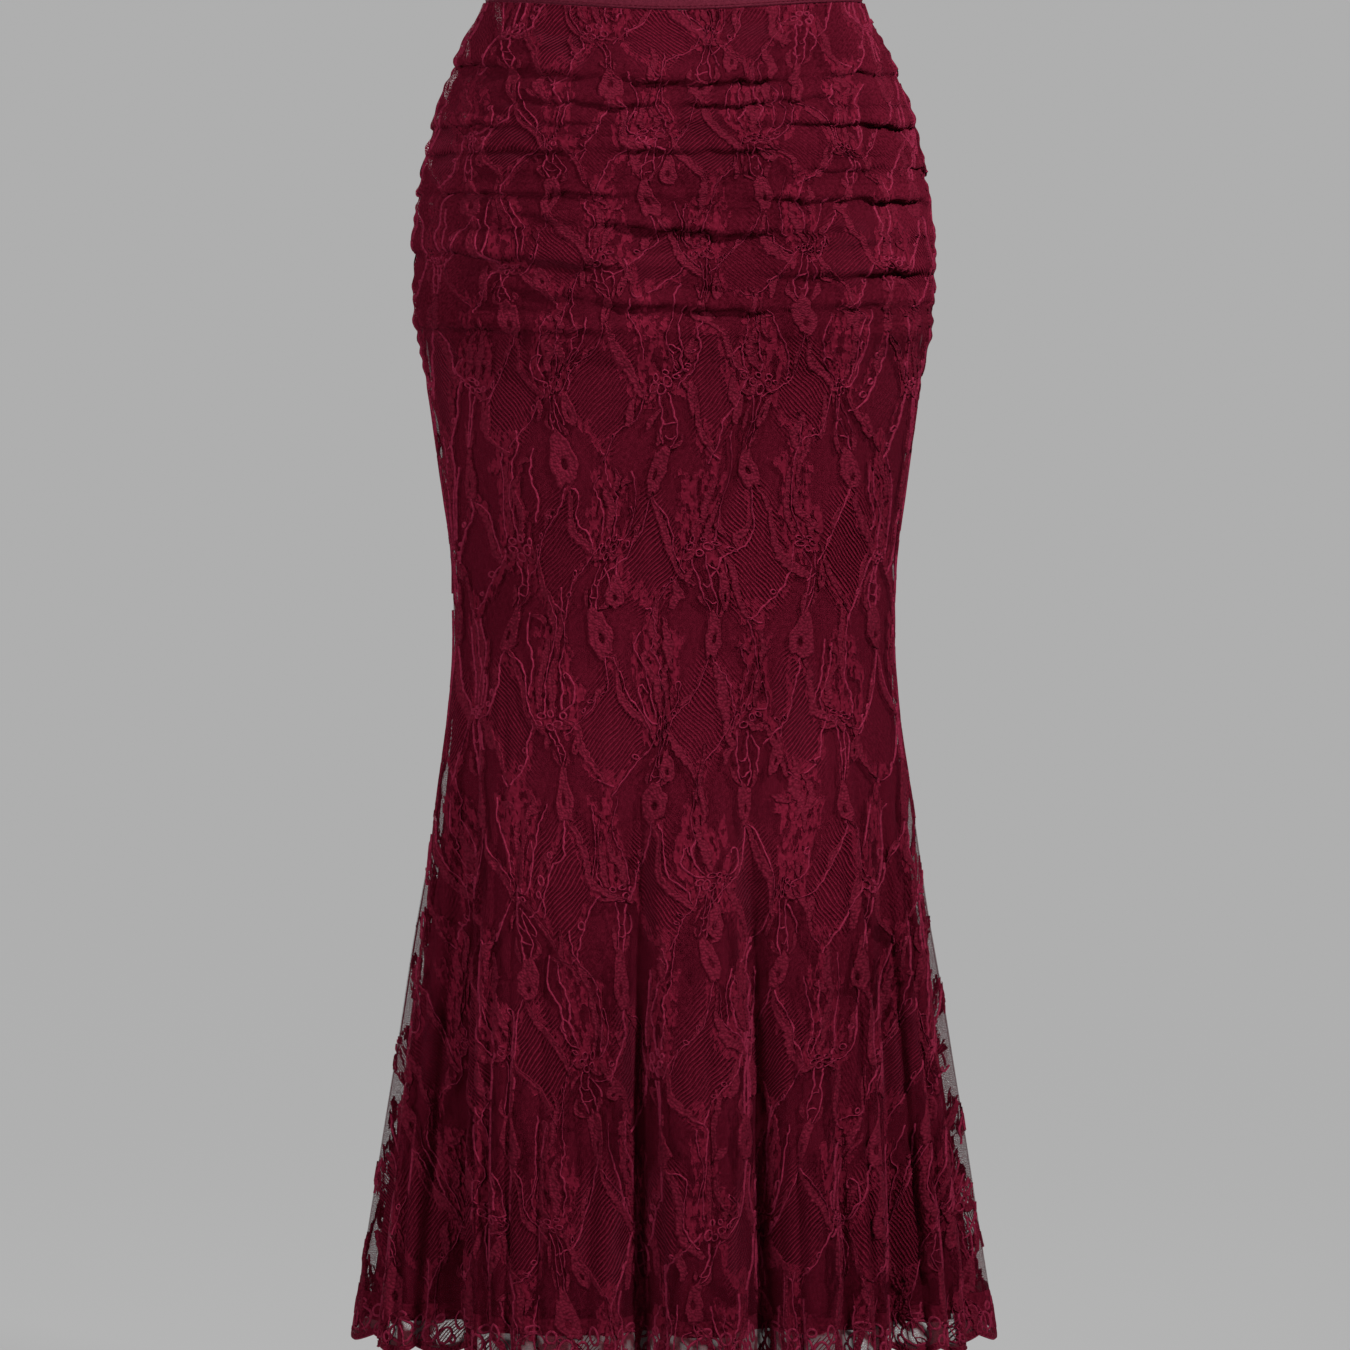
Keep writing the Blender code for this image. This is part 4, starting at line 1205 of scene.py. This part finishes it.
# %% Laying the flowers
FLOWER_FOOT, FLOWER_TOP = HEM + 0.0060, 0.0002
UNIT_ABOVE, UNIT_BELOW = 0.07, 0.13
UNIT_TURN, UNIT_SIZES, UNIT_SHIFT, UNIT_FALL = 0.045, (0.94, 1.08), 1.2, 2.5
FLOWER_SEED = 11
SPLIT_HEIGHT = -0.47
ZONES = (("hips", 1, SPLIT_HEIGHT), ("flare", SPLIT_HEIGHT, -1))


def join(parts):
    """Several ribbons as one set of arrays."""
    starts = np.concatenate(([0], np.cumsum([len(points) for points, _, _ in parts])))
    points = np.concatenate([points for points, _, _ in parts])
    faces = np.concatenate([faces + start for (_, faces, _), start in zip(parts, starts)])
    kinds = np.concatenate([kinds for _, _, kinds in parts])
    return points, faces, kinds


def placed_unit(side, at, drop, rng):
    """One flower turned, sized and drifted a little: lengths along and down the cloth, and height."""
    points, faces, kinds = join(flower_pieces(rng))
    turn, size = rng.normal(0, UNIT_TURN), rng.uniform(*UNIT_SIZES)
    tall = size * 1000 * ROW_PITCH / LIST_PITCH
    c, s = math.cos(turn), math.sin(turn)
    x = size * (points[:, 0] * c - points[:, 1] * s) + rng.normal(0, UNIT_SHIFT)
    y = tall * (points[:, 0] * s + points[:, 1] * c) + rng.normal(0, UNIT_FALL)
    run, down = at - side * x / 1000, drop - y / 1000
    along, fallen = drift(side, run, down)
    return run + along, down + fallen, points[:, 2] / 1000, faces, kinds


def lay_flowers(side, zone, top, foot):
    """The raised lace work of a panel between two heights, as one piece."""
    panel = PANELS[side]
    seeds = np.random.default_rng(FLOWER_SEED + side)
    edge = cloth_down(panel, FLOWER_FOOT)
    parts = []
    for _, _, at, drop in unit_places(side):
        rng = np.random.default_rng(seeds.integers(1 << 30))
        reached = -UNIT_ABOVE < drop < panel["down_cloth"][-1] + UNIT_BELOW
        if not reached or not foot <= height_at(panel, drop) < top:
            continue
        run, down, height, faces, kinds = placed_unit(side, at, drop, rng)
        left, right = seams_at(panel, down)
        on_cloth = (run > left) & (run < right) & (down > 0) & (down < edge) & ~open_strip(side, run, down)
        kept = on_cloth[faces].any(axis=1)
        if kept.any():
            parts.append((together(run, np.clip(down, FLOWER_TOP, edge), height), faces[kept], kinds[kept]))
    points, faces, kinds = join(parts)
    used, index = np.unique(faces, return_inverse=True)
    faces, (run, down, height) = index.reshape(faces.shape), points[used].T
    z = height_at(panel, down)
    space = lay(panel, around_of(panel, run, z), z, height)
    return make_piece("flowers_%s_%s" % (TITLES[side], zone), space, faces, RAISED_WORK,
                      together(run, down, 0.0), kinds)


FLOWERS = {side: [lay_flowers(side, *zone) for zone in ZONES] for side in TITLES}

# %% [markdown]
# ## The lining
#
# Inside hangs a plain knit lining. It follows the same form a few millimetres further in, and ends above the
# scallops in a narrow turned hem.

# %% Lining
LINING_STEP, LINING_COLUMNS, LINING_THICKNESS = 0.011, 110, 0.0008
HEM_TURN, HEM_ROWS, HEM_ROWS_FROM = 0.012, 16, 0.03
GROOVE_HALF, GROOVE, ROLL_OVER, ROLL = 0.0016, 0.0006, 0.002, 0.0005
SLACK, SLACK_WAVES, SLACK_FROM, SLACK_OVER = 0.0006, ((0.21, 0.4, 0.2), (0.13, -0.5, 1.6)), -0.5, 0.1
LINING_INSIDE = 0.0002


def lining_shell(side):
    heights = np.concatenate((np.arange(BAND_FOOT - SEAM_GAP, LINING_HEM + HEM_ROWS_FROM, -LINING_STEP),
                              np.linspace(LINING_HEM + HEM_ROWS_FROM, LINING_HEM, HEM_ROWS)))
    around, run = evenly_round(PANELS[side], heights, LINING_COLUMNS)
    z = np.broadcast_to(heights[:, None], around.shape)
    turned = LINING_HEM + HEM_TURN
    groove = np.exp(-(((z - turned) / GROOVE_HALF) ** 2))
    roll = ease((turned - z) / ROLL_OVER) * ROLL
    slack = SLACK * wavy(around, z, *SLACK_WAVES) * ease((SLACK_FROM - z) / SLACK_OVER)
    stand = -LEVEL["inset"](z) - LINING_INSIDE + roll - GROOVE * groove + slack
    faces = grid_faces(len(heights), LINING_COLUMNS + 1, flip=side == BACK)
    shell = make_piece("lining_shell_" + TITLES[side], surface(side, around, z, stand), faces,
                       ["lining_knit"], together(run, -z, 0.0))
    wall = shell.modifiers.new("wall", "SOLIDIFY")
    wall.thickness = LINING_THICKNESS
    wall.offset = -1
    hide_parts("lining_" + TITLES[side])
    return shell


LININGS = {side: lining_shell(side) for side in TITLES}

# %% [markdown]
# ## The waistband
#
# The waistband is elastic covered in the plain knit: a soft ring with rounded edges and fine upright
# puckers, drawn in a little where it is stitched to the skirt.

# %% Waistband
BAND_COLUMNS, BAND_POINTS = 320, 22
BAND_SQUARENESS, BAND_UPRIGHTNESS = 0.28, 0.75
PUCKERS_ROUND, PUCKER_STAND, BAND_SWELL = 150, 0.00022, 0.0004
PUCKER_WANDER, WANDERS_ROUND = 1.2, 9
BAND_PANEL_HALF = 0.172


def waistband_ring():
    """A closed ring: its section is a rounded box, and it goes once round the front and then the back."""
    around = np.linspace(-1, 1, BAND_COLUMNS // 2 + 1)[:-1]
    turn = np.linspace(0, 2 * math.pi, BAND_POINTS, endpoint=False)
    middle, half_height = (BAND_TOP + BAND_FOOT) / 2, (BAND_TOP - BAND_FOOT) / 2
    centre, half_thick = (BAND_INNER + BAND_OUTER) / 2, (BAND_OUTER - BAND_INNER) / 2
    rounded = np.abs(np.cos(turn)) ** BAND_SQUARENESS * np.sign(np.cos(turn))
    upright = np.abs(np.sin(turn)) ** BAND_UPRIGHTNESS * np.sign(np.sin(turn))
    points, cloth = [], []
    for side, start in ((FRONT, 0.0), (BACK, 2.0)):
        place = start + 1 + around[:, None]
        a, z = np.broadcast_arrays(-side * around[:, None], middle + half_height * upright)
        wander = PUCKER_WANDER * np.sin(WANDERS_ROUND * place)
        pucker = PUCKER_STAND * np.sin(math.pi * PUCKERS_ROUND * place + wander)
        swell = (half_thick + pucker) * rounded + BAND_SWELL * (rounded > 0) * (1 - upright**2)
        points.append(surface(side, a, z, centre + swell))
        cloth.append(together(BAND_PANEL_HALF * place, z, 0.0))
    points = np.concatenate(points)
    corner = np.arange(len(points))[:, None] * BAND_POINTS
    after = np.roll(corner, -1, axis=0)
    step = np.arange(BAND_POINTS)[None, :]
    up = (step + 1) % BAND_POINTS
    faces = np.stack((corner + step, after + step, after + up, corner + up), axis=-1).reshape(-1, 4)
    band = make_piece("waistband_elastic", points, faces, ["band_knit"], np.concatenate(cloth))
    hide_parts("waistband")
    return band


BAND = waistband_ring()
print("waistband", [round(1000 * float(value)) for value in BAND.dimensions], "mm")

# %% [markdown]
# ## The scalloped border
#
# The lace ends in its own woven border: a close band of thread that follows the scallops, with netted
# windows above it. The ground of the border is net with a close weave round the windows, and raised bands
# are laid on it as the flowers were. Two scallops make one repeat, a wide ribbed window over the first and
# round ones over the second.

# %% The border's list
PAIR = 2000 * (PANELS[FRONT]["run"][-1, -1] - PANELS[FRONT]["run"][-1, 0]) / SCALLOPS
LOBE = PAIR / 4
WINDOW_COLUMNS = ("at", "up", "half_width", "half_height", "turn", "rib")
WINDOWS = named_rows(WINDOW_COLUMNS, (
    (-16.5, 15.0, 11.5, 7.5, 0.10, 1.0),
    (9.5, 14.0, 4.6, 5.4, 0.15, 0.3),
    (20.5, 12.5, 4.2, 4.8, -0.2, 0.3),
    (30.0, 22.0, 3.2, 5.4, 0.35, 0.2),
    (-1.0, 21.5, 3.2, 3.4, 0.0, 0.2),
    (1.8, 10.5, 1.5, 3.0, -0.3, 0.0),
    (-30.0, 10.5, 1.6, 2.8, 0.4, 0.0),
    (14.5, 23.5, 2.8, 2.0, 0.2, 0.0),
    (26.5, 10.0, 1.2, 2.2, 0.5, 0.0),
    (-17.0, 26.0, 5.0, 1.6, 0.0, 0.0),
))
BORDER = (
    ("leaf", 0.8, ((-26, 24), (-21, 24.5), (-17, 22.8)), (0.4, 1.8, 0.4), 0),
    ("leaf", 0.8, ((-8, 23.5), (-11, 25), (-15, 24)), (0.4, 1.8, 0.4), 0),
    ("cord", 0.9, ((-29, 16), (-31.5, 20), (-31, 25), (-27.5, 27))),
    ("cord", 0.9, ((14.8, 18), (16, 13), (15.2, 8.5))),
    ("cord", 0.9, ((4.2, 18), (3.6, 13), (4.8, 8))),
    ("ring", 0.6, (5.0, 20.0), 1.3),
    ("ring", 0.6, (-5.0, 17.0), 1.2),
    ("ring", 0.8, (-28.6, 6.8), 1.2),
)
print("border repeat %.1f mm with" % PAIR, len(WINDOWS), "windows")

# %% The border's raised bands
RING_OUTSIDE, RING_HALF, RING_STAND, RING_RIPPLE = 0.5, 0.95, 0.9, 0.05
WIDE_WINDOW, WIDE_RING_POINTS, RING_POINTS = 6, 27, 15
LOBE_POINTS = 29
EDGES = (
    (2.4, 2.1, LEAF_SECTION, 0.8, FLOWER_FACE),
    (0.45, 0.7, CORD_SECTION, 1.0, CORD_FACE),
)


def even_ribbon(line, half, section, stand, kind):
    """A ribbon of one width."""
    width = np.full(len(line), half)
    return ribbon(line, width, width, section, stand, kind)


def window_ring(window):
    """The raised band round a window."""
    count = WIDE_RING_POINTS if window["half_width"] > WIDE_WINDOW else RING_POINTS
    angle = np.linspace(0, 2 * math.pi, count)
    x = (window["half_width"] + RING_OUTSIDE) * np.sin(angle) * (1 + RING_RIPPLE * np.sin(3 * angle))
    y = (window["half_height"] + RING_OUTSIDE) * np.cos(angle) * (1 + RING_RIPPLE * np.cos(5 * angle))
    c, s = math.cos(window["turn"]), math.sin(window["turn"])
    line = np.stack((window["at"] + c * x - s * y, window["up"] + s * x + c * y), axis=-1)
    return even_ribbon(line, RING_HALF, CORD_SECTION, RING_STAND, CORD_FACE)


def scallop_bands():
    """The close band along the scallops' edge, and the cord on its very edge."""
    bands = []
    for first in (-2, 0):
        q = np.linspace(first * LOBE, (first + 2) * LOBE, LOBE_POINTS)
        edge = 1000 * SCALLOP_DEPTH * (1 - np.abs(np.sin(math.pi * q / (2 * LOBE))))
        for up, half, section, stand, kind in EDGES:
            bands.append(even_ribbon(np.stack((q, edge + up), axis=-1), half, section, stand, kind))
    return bands


EDGE_PIECES = scallop_bands() + [window_ring(window) for window in WINDOWS]
BORDER_ROWS = named_rows(WORK_COLUMNS, BORDER)
print(len(EDGE_PIECES) + len(BORDER_ROWS), "bands and cords in a repeat")

# %% Border net and bands
COLUMNS_PER_SCALLOP, BORDER_NET_ROWS = 16, 17
CLOSE_WEAVE, HALF_OPEN, OPEN_FROM, OPENS_OVER = 0.92, 0.20, 0.46, 0.06
WINDOW_REACH, WINDOW_SOFTNESS = 1.08, 1.2
BORDER_SEED = 31


def hem_around(panel, run):
    """The share of the way round at lengths along the hem."""
    return np.interp(run, panel["run"][-1], panel["around"])


def in_windows(q, up):
    """How far a place of the border lies inside a window, and that window's ribs."""
    local = (q + PAIR / 2) % PAIR - PAIR / 2
    inside, rib = np.zeros_like(q), np.zeros_like(q)
    for window in WINDOWS:
        c, s = math.cos(window["turn"]), math.sin(window["turn"])
        y = up - window["up"]
        for step in (0, -PAIR, PAIR):
            x = local - window["at"] + step
            u, v = (c * x + s * y) / window["half_width"], (c * y - s * x) / window["half_height"]
            depth = np.clip((WINDOW_REACH - np.hypot(u, v)) * window["half_height"] / WINDOW_SOFTNESS, 0, 1)
            rib = np.where(depth > inside, window["rib"], rib)
            inside = np.maximum(inside, depth)
    return inside, rib


def border_net(side):
    """The border's ground, from the panel's foot down to the scallops."""
    panel = PANELS[side]
    columns = SCALLOPS * COLUMNS_PER_SCALLOP
    share = np.linspace(0, 1, columns + 1)
    left, right = panel["run"][-1, [0, -1]]
    run = left + (right - left) * share
    around = hem_around(panel, run)
    around[[0, -1]] = -1, 1
    edge = HEM + SCALLOP_DEPTH * (1 - np.abs(np.sin(math.pi * SCALLOPS * share)))
    z = EDGING_TOP + np.linspace(0, 1, BORDER_NET_ROWS)[:, None] * (edge - EDGING_TOP)
    around, run, z = np.broadcast_arrays(around, run, z)
    inside, rib = in_windows(run / (right - left) * SCALLOPS / 2 * PAIR, 1000 * (z - HEM))
    down = cloth_down(panel, z)
    faces = grid_faces(BORDER_NET_ROWS, columns + 1, flip=side == BACK)
    net = make_piece("border_" + TITLES[side], lay(panel, around, z, np.zeros_like(z)), faces,
                     ["lace_net"], together(run, down, rib))
    at_sides = ease((np.abs(around) - OPEN_FROM) / OPENS_OVER)
    add_value(net, "ground", CLOSE_WEAVE * (1 - inside * (HALF_OPEN + (1 - HALF_OPEN) * at_sides)))
    close = leafness(side, run, down)
    add_value(net, "leafness", close - (close - NO_CLOSE_WORK) * inside)
    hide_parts("hem_edge_" + TITLES[side])
    return net


def border_bands(side):
    """The raised bands and cords of all the border's repeats, as one piece."""
    panel = PANELS[side]
    rng = np.random.default_rng(BORDER_SEED + side)
    left, right = panel["run"][-1, [0, -1]]
    parts = []
    for pair in range(SCALLOPS // 2):
        points, faces, kinds = join(EDGE_PIECES + [drawn(row, rng) for row in BORDER_ROWS])
        share = ((points[:, 0] + PAIR / 2) / PAIR + pair) / (SCALLOPS / 2)
        run = np.clip(left + (right - left) * share, left, right)
        parts.append((together(run, points[:, 1] / 1000, points[:, 2] / 1000), faces, kinds))
    points, faces, kinds = join(parts)
    run, up, height = points.T
    space = lay(panel, hem_around(panel, run), HEM + up, height)
    return make_piece("border_bands_" + TITLES[side], space, faces, RAISED_WORK,
                      together(run, up, 0.0), kinds)


BORDERS = {side: border_net(side) for side in TITLES}
BANDS = {side: border_bands(side) for side in TITLES}

# %% [markdown]
# ## Side seams and stitches
#
# The two lace panels are joined down each side by a narrow overlocked seam, which shows through the net as a
# dark line. The lining's hem and the waistband are stitched with a plain machine, so each stitch is a short
# raised dash.

# %% Side seams
SEAM_HALF, SEAM_BEHIND, SEAM_STEP = 0.0026, 0.0007, 0.004
SEAM_STRIP = ((FRONT, 1.0), (FRONT, 0.0), (BACK, 0.0), (BACK, 1.0))


def side_seam(title, hand):
    """A strip that bridges front and back at one side, just inside the net."""
    heights = np.arange(BAND_FOOT - SEAM_GAP, HEM + SCALLOP_DEPTH, -SEAM_STEP)
    columns = []
    for side, share in SEAM_STRIP:
        panel = PANELS[side]
        reach = np.interp(-heights, -panel["heights"], np.abs(panel["run"][:, 0 if hand < 0 else -1]))
        around = hand * (1 - share * SEAM_HALF / reach)
        columns.append(lay(panel, around, heights, np.full_like(heights, -SEAM_BEHIND)))
    cloth = together(np.array((-SEAM_HALF, 0, 0, SEAM_HALF)), -heights[:, None], 0.0)
    faces = grid_faces(len(heights), len(SEAM_STRIP), flip=hand < 0)
    points = np.stack(columns, axis=1)
    return make_piece("side_seam_" + title, points, faces, ["seam_thread"], cloth)


for title, hand in (("left", -1), ("right", 1)):
    side_seam(title, hand)

# %% Stitches
STITCH, STITCH_GAP, STITCH_THICK = 0.0027, 0.0008, 0.00045
STITCH_SWELL, STITCH_SIDE, STITCH_OFF = (0.55, 1.0, 0.55), 0.5, 0.55
STITCHED_ROUND = np.linspace(-0.995, 0.995, 260)
STITCH_LINES = (
    ("lining_stitches_", LINING_HEM + HEM_TURN, -0.0006, "lining_knit", "lining"),
    ("band_stitches_", BAND_FOOT + 0.0022, BAND_OUTER + 0.0003, "seam_thread", "band"),
)


def stitches(name, places, normals, material):
    """A row of short dashes along a line of points that lie on the cloth."""
    run = np.concatenate(([0], np.cumsum(np.linalg.norm(np.diff(places, axis=0), axis=1))))
    starts = np.arange(0, run[-1] - STITCH, STITCH + STITCH_GAP)
    at = np.stack((starts, starts + STITCH / 2, starts + STITCH), axis=-1)
    middle, off = [together(*(np.interp(at, run, value) for value in line.T)) for line in (places, normals)]
    along = np.gradient(middle, axis=1)
    along /= np.linalg.norm(along, axis=-1, keepdims=True)
    across = np.cross(off, along)
    thick = STITCH_THICK * np.array(STITCH_SWELL)[None, :, None]
    corners = (across * STITCH_SIDE, off * STITCH_OFF, -across * STITCH_SIDE)
    points = np.stack([middle + corner * thick for corner in corners], axis=2).reshape(-1, 3)
    first = np.arange(len(starts))[:, None, None] * 3 * 3
    faces = (first + grid_faces(3, 3)[None]).reshape(-1, 4)
    return make_piece(name, points, faces, [material], together(points[:, 0], points[:, 2], 0.0))


for side, title in TITLES.items():
    for name, z, stand, material, slot in STITCH_LINES:
        inset = LEVEL["inset"](z) if slot == "lining" else 0.0
        height = np.full_like(STITCHED_ROUND, z)
        line = surface(side, STITCHED_ROUND, height, stand - inset)
        off = together(*outward(side, form, STITCHED_ROUND, height).T, 0.0)
        stitches(name + title, line, off, material)

# %% [markdown]
# ## The cloth as sheets
# The lace is longer than the skirt, because it is gathered over the hips.

# %% [markdown]
# ## Floor and light
#
# The skirt hangs in the air before a plain pale grey wall, so the stage is one wide bowl whose floor curves
# up into the wall without a line. One lamp on the right gives the folds their shadows, a broad one overhead
# softens them, a weak one on the left keeps the dark side readable, and one behind lights the back. Like
# lamps with a grid before them, most of them spread their light little, so that it falls off towards the
# waist and the hem.

# %% Stage
STAGE_FLOOR, STAGE_WALL, STAGE_CURVE, STAGE_TOP = -1.02, 6.5, 1.6, 4.5
FLOOR_EDGES, CURVE_STEPS, STAGE_STEPS = (0.02, 2.0), 12, 96
STAGE_GLOW, STAGE_EVEN, STAGE_TONES = 0.462, 0.92, ((0.44, 0.44, 0.44, 1), (0.46, 0.46, 0.46, 1))
PAINT_SCALE, PAINT_ROUGHNESS = 0.7, 0.9


def build_stage():
    """A shallow bowl: a flat floor, a wide curve, and an upright wall all round."""
    turn = np.linspace(0, math.pi / 2, CURVE_STEPS + 1)
    curve = STAGE_CURVE * together(np.sin(turn) - 1, 1 - np.cos(turn)) + (STAGE_WALL, STAGE_FLOOR)
    profile = np.array([(edge, STAGE_FLOOR) for edge in FLOOR_EDGES] + [*curve] + [(STAGE_WALL, STAGE_TOP)])
    angle = np.linspace(0, 2 * math.pi, STAGE_STEPS + 1)
    points = together(profile[:, :1] * np.cos(angle), profile[:, :1] * np.sin(angle), profile[:, 1:])
    mesh = bpy.data.meshes.new("stage")
    mesh.from_pydata(points.reshape(-1, 3).tolist(), [], grid_faces(len(profile), len(angle)).tolist())
    mesh.shade_smooth()
    stage = bpy.data.objects.new("stage", mesh)
    bpy.context.scene.collection.objects.link(stage)
    return stage


def stage_paint():
    """Matt pale paint. To the camera most of it is one even tone, as a wall with lamps of its own has."""
    paint = bpy.data.materials.new("stage_paint")
    paint.use_nodes = True
    tree = paint.node_tree
    noise = add_node(tree, "ShaderNodeTexNoise", {"Scale": PAINT_SCALE, "Detail": 1.0})
    shader = feed(tree, tree.nodes["Principled BSDF"], {
        "Base Color": mix_colours(tree, noise.outputs[0], *STAGE_TONES),
        "Roughness": PAINT_ROUGHNESS})
    glow = add_node(tree, "ShaderNodeEmission", {"Color": (1, 1, 1, 1), "Strength": STAGE_GLOW})
    seen = add_node(tree, "ShaderNodeLightPath").outputs["Is Camera Ray"]
    share = sums_in(tree)("MULTIPLY", seen, STAGE_EVEN)
    mix = add_node(tree, "ShaderNodeMixShader", {0: share, 1: shader.outputs[0], 2: glow.outputs[0]})
    feed(tree, tree.nodes["Material Output"], {"Surface": mix.outputs[0]})
    return paint


STAGE = build_stage()
STAGE.data.materials.append(stage_paint())

# %% Light
LAMP_COLUMNS = ("name", "place", "target", "size", "spread", "power")
LAMPS = (
    ("key", (2.0, -1.8, 1.5), (-0.02, 0.0, -0.36), 0.26, 50, 10.6),
    ("top", (0.1, -0.9, 2.4), (0.0, 0.0, -0.3), 1.2, 180, 8.5),
    ("fill", (-2.0, -2.1, 0.1), (-0.05, 0.0, -0.36), 0.9, 40, 4.0),
    ("back", (-1.1, 2.5, 1.2), (0.0, 0.0, -0.40), 1.0, 60, 7.0),
)
ROOM_LIGHT = 0.12
for lamp in named_rows(LAMP_COLUMNS, LAMPS):
    data = bpy.data.lights.new(lamp["name"], "AREA")
    data.size = lamp["size"]
    data.energy = lamp["power"]
    data.spread = math.radians(lamp["spread"])
    light = bpy.data.objects.new(lamp["name"], data)
    light.location = lamp["place"]
    aim = Vector(lamp["target"]) - Vector(lamp["place"])
    light.rotation_euler = aim.to_track_quat("-Z", "Y").to_euler()
    light.visible_camera = False
    bpy.context.scene.collection.objects.link(light)

world = bpy.data.worlds.new("studio")
world.use_nodes = True
feed(world.node_tree, world.node_tree.nodes["Background"], {"Color": (1, 1, 1, 1), "Strength": ROOM_LIGHT})
bpy.context.scene.world = world
bpy.context.scene.view_settings.view_transform = "Standard"
print(len(LAMPS), "lamps")
